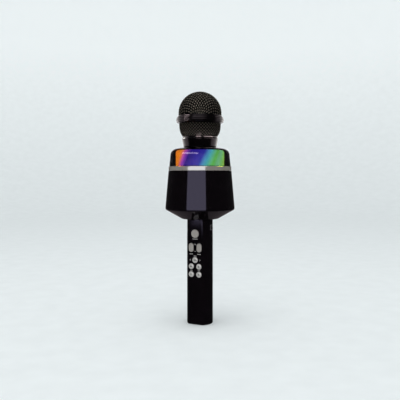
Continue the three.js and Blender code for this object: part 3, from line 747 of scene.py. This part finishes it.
def basket_paths():
    """Wires of the lower grille, two slanting families round a tapered bowl."""
    fine = smooth_path([Vector((r, 0, z)) for z, r in BASKET_SHEET], 40)
    turn_to = [0.0]
    for here, ahead in zip(fine, fine[1:]):
        turn_to.append(turn_to[-1] + (ahead - here).length / ((here.x + ahead.x) / 2 - MESH_DEPTH))
    crossings = []
    for m in range(-1, int(turn_to[-1] * BASKET_WIRES / pi) + 2):
        turn = pi * m / BASKET_WIRES
        if turn < 0 or turn > turn_to[-1]:
            edge = fine[0] if turn < 0 else fine[-1]
            beyond = (turn if turn < 0 else turn - turn_to[-1]) * edge.x
            crossings.append((turn, edge.x, edge.z + beyond))
            continue
        k = max(i for i, t in enumerate(turn_to) if t <= turn)
        k = min(k, len(fine) - 2)
        part = (turn - turn_to[k]) / (turn_to[k + 1] - turn_to[k])
        point = fine[k].lerp(fine[k + 1], part)
        crossings.append((turn, point.x, point.z))
    paths = []
    for family in (1, -1):
        for i in range(BASKET_WIRES):
            points = []
            for m, (turn, r, z) in enumerate(crossings):
                angle = 2 * pi * i / BASKET_WIRES + family * turn
                depth = r - MESH_DEPTH + CRIMP * family * (1 if m % 2 else -1)
                points.append(Vector((*polar(depth, angle), z)))
            path = trimmed(smooth_path(points, WIRE_STEPS), BASKET_BOTTOM + 0.1)
            upside = [Vector((p.x, p.y, -p.z)) for p in path]
            path = [Vector((p.x, p.y, -p.z)) for p in trimmed(upside, -BASKET_TOP + 0.1)]
            paths.append(path)
    return paths


def away_from_ball(point):
    """Outward direction on the dome and its skirt."""
    return (point - Vector((0, 0, min(point.z, DOME_CENTRE)))).normalized()


def away_from_axis(point):
    return Vector((point.x, point.y, 0)).normalized()


place(wires("dome_mesh", dome_paths(), away_from_ball), "head", "grille_wire", "grille_dome")
place(wires("basket_mesh", basket_paths(), away_from_axis), "head", "grille_wire", "grille_basket",
      look="basket_wire")


RIB_PITCH = 1.7                # height of one rib of the band
RIB_DEPTH = 0.45               # how deep the grooves between the ribs are
RIB_STEPS = 60                 # pieces of the outline over all the ribs


def height_to_radius(outline, height):
    """Radius of a rising outline at a height."""
    for (r0, z0), (r1, z1) in zip(outline, outline[1:]):
        if height <= z1:
            break
    share = (height - z0) / (z1 - z0)
    return r0 + (r1 - r0) * min(share, 1)


def band_outline():
    """Outline of the clamping band, with five pillowed ribs down its outside."""
    shape = [(24.7, 215.5), (25.6, 216.7), (26.0, 218.3), (26.0, 219.7), (25.4, 221.3), (24.3, 223.0),
             (23.5, 224.15)]
    outside = []
    for k in range(RIB_STEPS + 1):
        z = BAND_BOTTOM + (BAND_TOP - BAND_BOTTOM) * k / RIB_STEPS
        r = height_to_radius(shape, z)
        across = (z - BAND_BOTTOM - 0.35) / RIB_PITCH
        outside.append((r - RIB_DEPTH * (0.5 + 0.5 * cos(2 * pi * across)), z, 0))
    return [(22.0, BAND_BOTTOM, 0.2)] + outside + [(22.0, BAND_TOP, 0.2)]


place(turned("ribbed_band", band_outline()), "head", "grille_trim", "grille_band")
place(turned("threaded_base",
             [(16.95, 199.9), (18.9, 199.9), (18.9, 201.1), (17.85, 201.1), (17.85, 204.5), (16.95, 204.5)],
             radius=0.15),
      "head", "grille_trim", "head_base")
place(turned("head_washer", [(17.05, 199.45), (18.5, 199.45), (18.5, 199.85), (17.05, 199.85)], radius=0.12),
      "head_seal", "rubber", "head_seal")

FOAM_RADIUS = 21.7
FOAM_BORE = 19.7


def windscreen():
    """Foam lining of both grilles, its skin uneven with open cells."""
    outer = [(FOAM_RADIUS * sin(radians(a)), DOME_CENTRE + FOAM_RADIUS * cos(radians(a)))
             for a in range(0, 91, 3)]
    inner = [(FOAM_BORE * sin(radians(a)), DOME_CENTRE + FOAM_BORE * cos(radians(a)))
             for a in range(90, -1, -6)]
    outer += [(21.4, 221), (21.1, 216), (20.9, 213), (20.6, 210), (20.1, 208), (19.6, 206.6)]
    outline = outer + [(17.9, 206.6), (18.6, 210), (19.2, 216)] + inner
    obj = lathe("foam_windscreen", outline, 120, closed=False)
    for vertex in obj.data.vertices:
        depth = 0.16 * noise.noise(vertex.co / (1.3 * MM)) - 0.18
        away = Vector((vertex.co.x, vertex.co.y, max(vertex.co.z - DOME_CENTRE * MM, 0)))
        if away.length > 20.4 * MM or vertex.co.z < 216 * MM:
            vertex.co += away.normalized() * depth * MM
    return obj


foam = place(windscreen(), "head", "foam", "grille_foam")

# ---- neck and light unit

place(turned("flared_collar",
             [(17, COLLAR_BOTTOM), (17.9, COLLAR_BOTTOM), (19.45, 198.2), (19.45, 198.8), (18.9, COLLAR_TOP),
              (17, COLLAR_TOP)], radius=0.12),
      "casing", "collar_metal", "neck_collar")
place(turned("neck_sleeve",
             [(14.8, 164.45), (19, 164.45), (19, 166.2), (16.6, 166.2), (16.6, 205.8), (14.8, 205.8)],
             radius=0.2),
      "casing", "black_plastic", "neck_tube")


def cover_outline():
    outer = [(COVER_RADIUS, COVER_BOTTOM)] + arc(24.9, 181, 7.2, 4, 80, 24)
    inner = [(17.25, 188.9)] + arc(24.9, 181, 6.1, 80, 4, 24) + [(32, COVER_BOTTOM)]
    return outer + [(17.25, COVER_TOP)] + inner


place(lathe("clear_cover", filleted(cover_outline(), 0.15)), "casing", "clear_cover", "lamp_cover")
place(turned("glowing_drum",
             [(LIGHT_RADIUS, LIGHT_BOTTOM), (LIGHT_RADIUS, 169.8), (26.2, 169.8, 0.2), (26.2, 185, 1.2),
              (25.4, 186.5, 0.8), (23.6, LIGHT_TOP, 0.8), (19.4, 181.5, 0.6), (19.4, LIGHT_BOTTOM),
              (20.8, LIGHT_BOTTOM), (20.8, 181, 0.5), (23.9, 185.6, 0.4), (24.8, 184.7, 0.4),
              (24.8, LIGHT_BOTTOM)], radius=0.15),
      "casing", "light_diffuser", "light_diffuser")
place(turned("satin_ring",
             [(30.5, TRIM_BOTTOM), (33.8, TRIM_BOTTOM), (TRIM_RADIUS, 164.7), (TRIM_RADIUS, 168.6),
              (33.7, TRIM_TOP), (30.5, TRIM_TOP)], radius=0.12),
      "casing", "silver_trim", "trim_ring")

# ---- speaker drum

DRUM_FACETS = 160              # facets round the widest parts
DECK_SCREW_ANGLES = (60, 180, 300)
DECK_SCREW_REACH = 27.8
OUTLET_SLOTS = 16


def drum():
    """Tapered housing with three screw bosses inside."""
    outline = [(32.2, HOUSING_TOP), (34.2, HOUSING_TOP), (HOUSING_RADIUS, 125.2, 0.8),
               (HOUSING_RADIUS, HOUSING_BOTTOM), (35.4, HOUSING_BOTTOM), (35.4, 128.6), (33.4, 128.6),
               (33.4, 131), (34.7, 132.5)]
    body = lathe("speaker_drum", filleted(outline, 0.2), DRUM_FACETS)
    bosses = []
    holes = []
    for angle in DECK_SCREW_ANGLES:
        turn = radians(angle)
        place_at = polar(DECK_SCREW_REACH, turn)
        bosses.append(post("boss", circle(*place_at, 3, 32), 150.35, 162.35))
        web = box("web", (DECK_SCREW_REACH + 0.9, -1.2, 150.35), (DECK_SCREW_REACH + 5.9, 1.2, 162.35))
        web.data.transform(Matrix.Rotation(turn, 4, "Z"))
        bosses.append(web)
        holes.append(post("hole", circle(*place_at, 1.3, 24), 152.35, 163.35))
    return level_normals(cut(unite(body, bosses), holes))


place(drum(), "casing", "gloss_black", "speaker_housing")
place(turned("lower_funnel",
             [(33.6, 126.7), (35.1, 126.7), (35.1, 123.4), (37.45, 123.4), (37.3, 122.8, 0.5),
              (36.7, 122.2, 0.6), (19.3, 112.4, 0.4), (19.3, 114.8), (33.6, 122.9)], DRUM_FACETS, 0.2),
      "casing", "gloss_black", "lower_cone")


def sound_outlet():
    """Ring round the top of the handle with a row of slots."""
    outline = [(14.25, OUTLET_BOTTOM), (19.1, OUTLET_BOTTOM), (19.1, 115.75), (OUTLET_RADIUS, 115.75),
               (OUTLET_RADIUS, OUTLET_TOP), (18, OUTLET_TOP), (18, 114.2), (14.25, 114.2)]
    ring = lathe("sound_outlet", filleted(outline, 0.15), 96)
    slots = []
    for k in range(OUTLET_SLOTS):
        slot = post("slot", obround(16.6, 0, 2.3, 3.2, 8), 110, 116)
        slot.data.transform(Matrix.Rotation(2 * pi * k / OUTLET_SLOTS, 4, "Z"))
        slots.append(slot)
    return level_normals(soften(cut(ring, slots), 0.12))


place(sound_outlet(), "casing", "black_plastic", "outlet_ring")

# ---- handle

BORE = GRIP_RADIUS - 1.6       # inner radius of the shells, which are 1.6 mm thick
BORE_FLAT = 9.8                # how far in front of the axis the inside of the flat lies
NECK_BOTTOM = 111.5            # the flat ends here and the shells are round
NECK_TOP = 117.1               # the flange starts here
PANEL_BOTTOM, PANEL_TOP, PANEL_HALF = extent("button_panel")
PANEL_MIDDLE = (PANEL_BOTTOM + PANEL_TOP) / 2
PANEL_FRONT = -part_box("button_panel")[0].y / MM
PANEL_BACK = -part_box("button_panel")[1].y / MM
KEY_NODES = ("effect_button", "play_button", "upper_left_key", "upper_right_key", "lower_left_key",
             "lower_right_key")
ROCKER_NODES = ("music_rocker", "voice_rocker")
KEY_GAP = 0.25                 # between a key and the edge of its opening
KEY_FLANGE = 0.6               # how far a round key's flange stands out behind the panel
BIG_KEY_DISH = 0.18            # depth of the hollow in the big key's face
SMALL_KEY_CROWN = 0.3          # height of the dome on a small key's face
ROCKER_SWING = 0.3             # extra gap at a rocker's ends
PIVOT_REACH = 9.6              # how far in front of the axis a rocker's pivot lies
SCREW_NODES = ("upper_handle_screw", "lower_handle_screw")
FOOT_ROUNDING = 1.2            # radius of the end cap's bottom edge
SCREW_SEAT = 11.2              # how far behind the axis a screw's head starts


def half_shell(name, side):
    """One half of the handle's tube, with its round neck and flange.

    Extra levels near the ends of tall faces keep their shading true.
    """
    switch_bottom = corners("switch_bezel")[0][2]
    hoops = (HANDLE_BOTTOM, HANDLE_BOTTOM + 0.5, PANEL_BOTTOM - 1, switch_bottom - 1, NECK_BOTTOM - 0.5,
             NECK_BOTTOM)
    levels = [(height, GRIP_RADIUS, GRIP_FLAT) for height in hoops]
    levels += [(NECK_BOTTOM, GRIP_RADIUS, 0), (NECK_TOP, GRIP_RADIUS, 0), (NECK_TOP, FLANGE_RADIUS, 0),
               (HANDLE_TOP, FLANGE_RADIUS, 0)]
    sections = [shell_section(radius, flat, BORE, BORE_FLAT, side) for _, radius, flat in levels]
    return loft(name, sections, [height for height, _, _ in levels])


def true_front(obj):
    """Shades the faces that look straight to the front as exactly flat."""
    for polygon in obj.data.polygons:
        if polygon.normal.y < -0.9999:
            polygon.use_smooth = False
    return obj


def key_tools(front, back):
    """Cutters for every opening that a key passes through."""
    tools = []
    for node in KEY_NODES:
        x, z, width, _ = middle(node)
        radius = width / 2 - KEY_FLANGE + KEY_GAP
        tools.append(prism("opening", circle(x, z, radius), front, back))
    for node in ROCKER_NODES:
        x, z, width, height = middle(node)
        outline = obround(x, z, width + 2 * KEY_GAP, height + 2 * (KEY_GAP + ROCKER_SWING))
        tools.append(prism("opening", outline, front, back))
    return tools


def switch_tools():
    """Cutters for the switch frame and for the room behind it."""
    _, z, _, height = middle("switch_bezel")
    (inner, _, _), (_, half, _) = corners("switch_bezel")
    return [box("recess", (inner - 0.05, -half - 0.15, z - height / 2 - 0.15),
                (20, half + 0.15, z + height / 2 + 0.15)),
            box("recess", (8, -1.8, z - 3.2), (20, 1.8, z + 3.2))]


def front_shell():
    shell = half_shell("front_shell", -1)
    outline = obround(0, PANEL_MIDDLE, 2 * PANEL_HALF + 0.2, PANEL_TOP - PANEL_BOTTOM + 0.2, 48)
    recess = prism("recess", outline, 20, PANEL_BACK - 0.05)
    pockets = []
    for node in KEY_NODES:
        x, z, width, _ = middle(node)
        pockets.append(prism("pocket", circle(x, z, width / 2 + KEY_GAP), 9.85, 7))
    cut(shell, [recess] + key_tools(20, 7) + pockets + switch_tools())
    return level_normals(true_front(soften(shell, 0.1)), 50)


def seam_lap():
    """Thin lip inside the left seam, so that nothing shows through it."""
    inside = BORE - 0.55
    low, high = CAP_TOP + 0.5, NECK_BOTTOM - 1
    return [box("lap", (-BORE + 0.1, -0.7, low), (-inside, 0.9, high)),
            box("lap", (-BORE - 0.3, 0.2, low), (-inside, 0.9, high))]


def rear_shell():
    shell = half_shell("rear_shell", 1)
    bosses = []
    holes = []
    for node in SCREW_NODES:
        z = middle(node)[1]
        bosses.append(prism("boss", circle(0, z, 2.9, 32), -0.6, -12.8))
        holes.append(prism("seat", circle(0, z, 2.3, 32), -SCREW_SEAT, -20))
        holes.append(prism("hole", circle(0, z, 1.25, 24), 6, -20))
    cut(unite(shell, bosses + seam_lap()), holes + switch_tools())
    return level_normals(soften(shell, 0.1), 50)


place(front_shell(), "casing", "gloss_black", "handle_front")
place(rear_shell(), "casing", "gloss_black", "handle_rear")


def foot():
    """End cap: a rounded cup with openings for the three sockets."""
    rim = [(FOOT_ROUNDING - FOOT_ROUNDING * sin(radians(a)), FOOT_ROUNDING - FOOT_ROUNDING * cos(radians(a)))
           for a in range(0, 91, 15)]
    rings = [(GRIP_RADIUS - inset, GRIP_FLAT - inset, CAP_BOTTOM + height) for inset, height in rim]
    rings += [(GRIP_RADIUS, GRIP_FLAT, HANDLE_BOTTOM - 0.3), (GRIP_RADIUS - 0.15, GRIP_FLAT - 0.15, 7.85),
              (BORE - 0.2, BORE_FLAT - 0.2, 7.85), (BORE - 0.2, BORE_FLAT - 0.2, CAP_TOP - 0.3),
              (BORE - 0.5, BORE_FLAT - 0.5, CAP_TOP), (BORE - 1.7, BORE_FLAT - 1.2, CAP_TOP),
              (BORE - 1.7, BORE_FLAT - 1.2, 2.4)]
    sections = [whole_section(radius, flat) for radius, flat, _ in rings]
    cup = loft("end_cup", sections, [z for _, _, z in rings])
    tools = []
    for node, outline in (("usb_port", obround), ("audio_jack", obround), ("card_reader", oblong)):
        x, y, width, depth = plan(node)
        tools.append(post("opening", outline(x, y, width + 0.3, depth + 0.3), -1, 3))
    return level_normals(true_front(soften(cut(cup, tools), 0.12, angle=40)), 50)


place(foot(), "casing", "gloss_black", "end_cap")


def socket_shell(node, name, outline, mouth, depth):
    """A socket standing upright behind the foot, open at the bottom."""
    bottom, top, _ = extent(node)
    shell = cut(post(name, outline, bottom, top), [post("mouth", mouth, bottom - 1, bottom + depth)])
    return soften(shell, 0.06)


def charging_socket():
    x, y, width, depth = plan("usb_port")
    bottom, top, _ = extent("usb_port")
    shell = socket_shell("usb_port", "charging_socket", obround(x, y, width, depth),
                         obround(x, y, width - 0.7, depth - 0.7), 6.2)
    tongue = box("tongue", (x - 3.3, y - 0.35, bottom + 1), (x + 3.3, y + 0.35, top - 1))
    return level_normals(unite(shell, [soften(tongue, 0.08)]))


def card_socket():
    x, y, width, depth = plan("card_reader")
    return level_normals(socket_shell("card_reader", "card_socket", oblong(x, y, width, depth),
                                      oblong(x, y, 11, 1.1, 0.15), 8.3))


def headphone_socket():
    x, y, _, _ = plan("audio_jack")
    bottom, top, radius = extent("audio_jack")
    outline = [(0, top), (radius, top), (radius, bottom), (2.5, bottom), (2.3, bottom + 0.4),
               (1.9, bottom + 0.4), (1.8, bottom + 0.7), (1.8, top - 1), (0, top - 1)]
    sleeve = lathe("headphone_socket", filleted(outline, 0.12, closed=False), FINE, False)
    return level_normals(stand(sleeve, (x, y, 0)))


place(charging_socket(), "casing", "steel", "usb_port")
place(card_socket(), "casing", "steel", "card_reader")
place(headphone_socket(), "casing", "black_plastic", "audio_jack")


def sunk_screw(node, name):
    """Pan-head screw with a cross recess, its head to the rear."""
    low, high = corners(node)
    x, z, width, _ = middle(node)
    seat = high[1] - 1.3
    length = seat - low[1]
    outline = [(0, -length), (0.7, -length), (1.15, 1 - length), (1.15, 0, 0.1), (width / 2, 0, 0.1),
               (width / 2, 0.7, 0.3), (1.4, 1.3, 0.4), (0, 1.3)]
    screw = lathe(name, filleted(outline, 0.1, closed=False), 48, False)
    cut(screw, [box("cross", (-1.2, -0.22, 0.45), (1.2, 0.22, 3)),
                box("cross", (-0.22, -1.2, 0.45), (0.22, 1.2, 3))])
    return level_normals(stand(screw, (x, seat, z), -1))


for node in SCREW_NODES:
    place(sunk_screw(node, node.replace("handle_", "")), "casing", "steel", node)

# ---- controls


def fascia():
    """Glossy obround plate round the keys."""
    plate = prism("key_fascia", obround(0, PANEL_MIDDLE, 2 * PANEL_HALF, PANEL_TOP - PANEL_BOTTOM, 48),
                  PANEL_FRONT, PANEL_BACK)
    return level_normals(true_front(soften(cut(plate, key_tools(20, 5)), 0.12, 3)))


place(fascia(), "casing", "gloss_black", "button_panel")


def round_key(node, name, crown):
    """Round key with a flange behind. Crown is the height of its domed face, or minus the depth of a dish."""
    low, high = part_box(node)
    x, z, width, _ = middle(node)
    flange_radius = width / 2
    radius = flange_radius - KEY_FLANGE
    height = (high.y - low.y) / MM
    rim = height - max(crown, 0)
    outline = [(0, 0), (flange_radius, 0), (flange_radius, 0.5), (radius, 0.5, 0.1), (radius, rim, 0.4)]
    for k in range(8, -1, -1):
        share = k / 9
        outline.append((radius * 0.9 * share, rim + crown * (1 - share ** 2), 0))
    key = lathe(name, filleted(outline, 0.08, 4, closed=False), FINE, False)
    return level_normals(stand(key, (x, high.y / MM, z), 1))


for node in KEY_NODES:
    big = node == "effect_button"
    key_cap = round_key(node, node + "_cap", -BIG_KEY_DISH if big else SMALL_KEY_CROWN)
    place(key_cap, node, "key", node, look="key" if big else "bright_key")


def rocker(node, name):
    """Pill-shaped rocker, crowned at its ends and dipped across its middle, with its pivot behind."""
    front = -corners(node)[0][1]
    x, z, width, height = middle(node)
    count = 32
    rings = [(0, PIVOT_REACH), (0, front - 0.75), (0.05, front - 0.5), (0.2, front - 0.25),
             (0.45, front - 0.08), (0.8, front), (1.3, front), (1.8, front), (2.3, front),
             (width / 2 - 0.02, front)]
    verts = []
    for inset, depth in rings:
        for px, pz in obround(0, 0, width - 2 * inset, height - 2 * inset, count):
            dip = 0.45 * math.exp(-(pz / 1.5) ** 2) if depth > front - 0.3 else 0
            verts.append((x + px, -depth + dip, z + pz))
    size = 2 * (count + 1)
    pill = mesh_object(name, verts, caps(size, len(rings)) + skin(size, len(rings)))
    pivot = stand(post("pivot", circle(0, 0, 0.8, 24), -2.5, 2.5), (x, -PIVOT_REACH, z), 1, "Y")
    return level_normals(unite(pill, [pivot]))


for node in ROCKER_NODES:
    place(rocker(node, node + "_cap"), node, "key", node)


def switch_frame():
    low, high = corners("switch_bezel")
    _, z, _, height = middle("switch_bezel")
    slot = box("slot", (10, -1.65, z - height / 2 + 0.7), (20, 1.65, z + height / 2 - 0.7))
    return level_normals(soften(cut(box("switch_frame", low, high), [slot]), 0.15, 3))


def switch_knob():
    """Thumb piece with three grooves across its tip."""
    (inner, _, bottom), (tip, half, top) = corners("power_switch")
    outline = [(inner, bottom), (tip, bottom, 0.35)]
    for groove in (bottom + 0.5, bottom + 1, bottom + 1.5):
        outline += [(tip, groove - 0.2, 0.08), (tip - 0.35, groove - 0.06, 0.05),
                    (tip - 0.35, groove + 0.06, 0.05), (tip, groove + 0.2, 0.08)]
    outline += [(tip, top, 0.35), (inner, top)]
    knob = prism("switch_knob", filleted(outline, 0.08, 3), half, -half)
    return level_normals(soften(knob, 0.12, 3, 50))


place(switch_frame(), "casing", "silver_trim", "switch_bezel", look="bezel")
place(switch_knob(), "power_switch", "black_plastic", "power_switch")

# ---- printed marks

INK = 0.05                     # how far a mark stands proud of what it is printed on
DASH_GAP = 0.32                # between two bars of a row


def bar_mark(x, z, width, height):
    return obround(x, z, width, height, 6)


def marks(name, body, face, outlines, slot, look):
    """Thin raised print in front of a face, one outline for each mark."""
    pieces = [prism("mark", outline, face + INK, face - 0.06) for outline in outlines]
    first, rest = pieces[0], pieces[1:]
    bm = bmesh.new()
    for piece in pieces:
        bm.from_mesh(piece.data)
    bm.to_mesh(first.data)
    bm.free()
    for piece in rest:
        bpy.data.objects.remove(piece)
    first.name = name
    return place(shade(first, False), body, slot, look=look)


def dashes(x, z, widths, height):
    """A row of short bars, centred on x."""
    total = sum(widths) + DASH_GAP * (len(widths) - 1)
    at = x - total / 2
    row = []
    for width in widths:
        row.append(bar_mark(at + width / 2, z, width, height))
        at += width + DASH_GAP
    return row


def plus(x, z, size=1.7, stroke=0.42):
    a, b = size / 2, stroke / 2
    corner_points = ((a, b), (b, b), (b, a), (-b, a), (-b, b), (-a, b),
                     (-a, -b), (-b, -b), (-b, -a), (b, -a), (b, -b), (a, -b))
    return [(x + p, z + q) for p, q in corner_points]


def chevron(x, z, way):
    """An arrow head that points along x, way being 1 or -1."""
    a, stroke = 0.85, 0.5
    tip = a * 0.6
    corner_points = ((tip, 0), (-tip, a), (-tip + stroke, a),
                     (tip + stroke, 0), (-tip + stroke, -a), (-tip, -a))
    return [(x + way * p, z + q) for p, q in corner_points]


def triangle(x, z, size, way=1):
    """An arrow head filled in, way being 1 or -1."""
    back = x - way * size * 0.4
    return [(back, z + size / 2), (x + way * size * 0.6, z), (back, z - size / 2)]


big_x, big_z = middle("effect_button")[:2]
rocker_z = middle("music_rocker")[1]
play_x, play_z = middle("play_button")[:2]
upper_z = middle("upper_left_key")[1]
lower_z = middle("lower_left_key")[1]
key_x = middle("upper_right_key")[0]
between = (upper_z + lower_z) / 2 - 0.05

legend_outlines = dashes(big_x, big_z - 5.75, (1.5, 1.1, 1.5, 0.9), 0.85)
legend_outlines += [plus(0, rocker_z + 3.5), bar_mark(0, rocker_z - 3.9, 1.7, 0.45)]
for side in (-1, 1):
    legend_outlines += dashes(side * key_x * 1.02, rocker_z - 6.9, (1.2, 0.9, 1.2), 0.75)
    legend_outlines.append(chevron(side * 5.5, play_z + 0.1, side))
    legend_outlines += dashes(side * key_x, between, (1.0, 1.3), 0.7)
legend_outlines += dashes(play_x, play_z + 4.3, (1.6, 1.2), 0.75)
marks("fascia_legend", "casing", PANEL_FRONT, legend_outlines, "key", "legend")

KEY_MARKS = {
    "play_button": [triangle(play_x - 0.5, play_z, 1.9), bar_mark(play_x + 0.95, play_z, 0.4, 1.8),
                    bar_mark(play_x + 1.6, play_z, 0.4, 1.8)],
    "upper_left_key": [circle(-key_x, upper_z, 0.8, 24)],
    "upper_right_key": [plus(key_x, upper_z, 2.0, 0.5)],
    "lower_left_key": [bar_mark(-key_x, lower_z + rise, 2.0, 0.45) for rise in (0.55, -0.55)],
    "lower_right_key": [triangle(key_x, lower_z, 1.9, -1)],
}
for node, outlines in KEY_MARKS.items():
    face = -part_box(node)[0].y / MM - 0.03              # where the crown of the key lies, near its middle
    marks(node.rsplit("_", 1)[0] + "_mark", node, face, outlines, "black_plastic", "black_plastic")

# ---- carried-over CAD nodes

for part in frame["record"]["subparts"]:
    node = frame["nodes"][part["node"]]
    if not node.hide_render:
        node.data.materials.clear()
        node.data.materials.append(LOOKS[part["material_slot"]])

# ---- studio

CAMERA_DISTANCE = 650          # millimetres from the axis
CAMERA_HEIGHT = 165            # millimetres above the floor
LENS = 54.0
SHIFT_UP = -0.075
FLAT_FLOOR = 1.5               # metres, radius of the flat part of the floor
SWEEP = 1.1                    # metres, radius of the curve from the floor up to the wall
BACKDROP_FACETS = 96
FLOOR_GLOW = 0.1               # light that the floor gives off itself
WALL_GLOW = 0.29               # light that the wall gives off itself


def backdrop():
    """Floor that curves up into a round wall."""
    outline = [(0.0, 0.0)]
    outline += [(r / 10 * FLAT_FLOOR, 0.0) for r in range(1, 11)]
    outline += [(FLAT_FLOOR + SWEEP * sin(radians(a)), SWEEP - SWEEP * cos(radians(a)))
                for a in range(6, 91, 6)]
    outline += [(FLAT_FLOOR + SWEEP, h) for h in (1.6, 2.2, 2.8)]
    segments = BACKDROP_FACETS
    verts = [(0, 0, 0)]
    for r, z in outline[1:]:
        verts += [(*polar(r, 2 * pi * k / segments), z) for k in range(segments)]
    faces = [[0, 1 + k, 1 + (k + 1) % segments] for k in range(segments)]
    for level in range(len(outline) - 2):
        base = 1 + level * segments
        for k in range(segments):
            n = (k + 1) % segments
            faces.append([base + k, base + segments + k, base + segments + n, base + n])
    mesh = bpy.data.meshes.new("backdrop")
    mesh.from_pydata(verts, [], faces)
    obj = shade(added("backdrop", mesh), True)
    look, tree, shader, paper_at = new_look("paper_backdrop")
    fibre = put(tree, "TexNoise", {"Vector": paper_at, "Scale": 40.0, "Detail": 2.0}).outputs["Fac"]
    height = put(tree, "SeparateXYZ", {"Vector": paper_at}).outputs["Z"]
    fill_in(tree, shader, {"Base Color": ramp(tree, fibre, [(0.3, hexed("dfe2e2")), (0.7, hexed("e3e6e6"))]),
                           "Emission Strength": spread(tree, height, 0.0, 0.8, FLOOR_GLOW, WALL_GLOW),
                           "Emission Color": hexed("f0f2f2"), "Roughness": 0.9, "Specular IOR Level": 0.1})
    obj.data.materials.append(look)
    obj.visible_glossy = False


def softbox(name, azimuth, elevation, distance, width, height, radiance, color, aim, lit):
    """A rectangular lamp aimed at a height on the axis, for the pieces in lit alone.

    Azimuth is in degrees round from the camera. Distance and size are in metres.
    """
    lamp = bpy.data.lights.new(name, "AREA")
    lamp.shape = "RECTANGLE"
    lamp.size = width
    lamp.size_y = height
    lamp.energy = radiance * pi * width * height
    lamp.color = color
    obj = added(name, lamp)
    turn, tilt = radians(CAMERA_AZIMUTH + azimuth), radians(elevation)
    away = Vector((cos(tilt) * sin(turn), -cos(tilt) * cos(turn), sin(tilt)))
    obj.location = Vector((0, 0, aim * MM)) + away * distance
    obj.rotation_euler = away.to_track_quat("Z", "Y").to_euler()
    obj.visible_camera = False
    pieces = bpy.data.collections.new(name)
    for piece in lit:
        pieces.objects.link(piece)
    obj.light_linking.receiver_collection = pieces


def camera():
    data = bpy.data.cameras.new("camera")
    data.lens = LENS
    data.sensor_width = 36.0
    data.shift_y = SHIFT_UP
    obj = added("camera", data)
    turn = radians(CAMERA_AZIMUTH)
    obj.location = (CAMERA_DISTANCE * MM * sin(turn), -CAMERA_DISTANCE * MM * cos(turn),
                    CAMERA_HEIGHT * MM)
    obj.rotation_euler = (pi / 2, 0, turn)
    bpy.context.scene.camera = obj


def surroundings():
    """Pale all round to the eye, a moderate fill on dull surfaces, and dark in polished ones."""
    world = bpy.data.worlds.new("studio")
    bpy.context.scene.world = world
    world.use_nodes = True
    tree = world.node_tree
    tree.nodes.clear()
    path = put(tree, "LightPath").outputs
    fill = put(tree, "Background", {"Color": (0.93, 0.97, 1.0, 1), "Strength": 0.8})
    dark = put(tree, "Background", {"Color": (1.0, 0.96, 1.0, 1), "Strength": 0.03})
    both = put(tree, "MixShader", {0: path["Is Glossy Ray"], 1: fill.outputs[0], 2: dark.outputs[0]})
    output = put(tree, "OutputWorld")
    tree.links.new(both.outputs[0], output.inputs[0])


backdrop()
surroundings()
camera()

objects = bpy.data.objects
band_metal = [objects["ribbed_band"]]
collar_metal = [objects["flared_collar"], objects["threaded_base"]]
mesh_wires = [objects["dome_mesh"], objects["basket_mesh"]]
cover = [objects["clear_cover"]]
ring = [objects["satin_ring"]]
everything = [obj for obj in objects if obj.type == "MESH"]
microphone = [obj for obj in everything if obj.name != "backdrop"]
body = [obj for obj in microphone if obj not in band_metal + collar_metal + mesh_wires + cover + ring]
opaque = [obj for obj in everything if obj not in cover]

for name, radiance, color, lit in (("front_softbox", 1.7, (0.96, 0.95, 1.0), body),
                                   ("cover_softbox", 0.28, (0.96, 0.95, 1.0), cover),
                                   ("ring_softbox", 1.84, (0.72, 0.82, 1.0), ring)):
    softbox(name, -12.5, 6, 1.2, 1.47, 0.62, radiance, color, 150, lit)
softbox("top_softbox", -20, 78, 1.1, 0.7, 0.7, 2.2, (1, 1, 1), 140, opaque)
softbox("rear_softbox", 180, 6, 1.2, 0.8, 0.62, 1.0, (0.95, 0.95, 1.0), 150, microphone)
softbox("left_panel", -122, -3, 0.5, 0.78, 0.45, 1.8, (1.0, 0.96, 0.94), 205, band_metal + collar_metal)
softbox("right_panel", 120, -3, 0.5, 0.84, 0.45, 2.0, (1.0, 0.98, 0.94), 205, band_metal + collar_metal)
softbox("rib_strip", -69, 5, 1.0, 0.46, 0.25, 30.0, (1.0, 0.96, 0.9), 219, band_metal)
softbox("wire_key", -25, 35, 1.0, 0.5, 0.3, 4.5, (1.0, 0.98, 0.95), 220, mesh_wires)
for azimuth, elevation, size in ((-143, 40, 0.6), (-125, 80, 0.25), (128, 62, 0.45)):
    softbox("lip_lamp", azimuth, elevation, 0.9, size, size, 14.0, (1.0, 0.98, 0.92), 199, collar_metal)
for azimuth, width in ((-10, 0.55), (60, 1.2)):
    softbox("rim_strip", azimuth, 3, 0.9, width, 0.08, 18.0, (1.0, 0.96, 0.86), 198, collar_metal)
softbox("shoulder_strip", -41, 25, 1.2, 1.5, 0.28, 10.0, (1.0, 0.84, 0.96), 182, cover)
softbox("cone_panel", 180, -45, 0.15, 0.6, 0.5, 0.09, (1.0, 0.82, 0.86), 115, [objects["lower_funnel"]])
softbox("shell_glint", -49.7, -2.4, 0.6, 0.1, 0.063, 0.8, (0.95, 0.9, 1.0), 110,
        [objects["front_shell"], objects["key_fascia"]])
bpy.context.scene.view_settings.view_transform = "Standard"
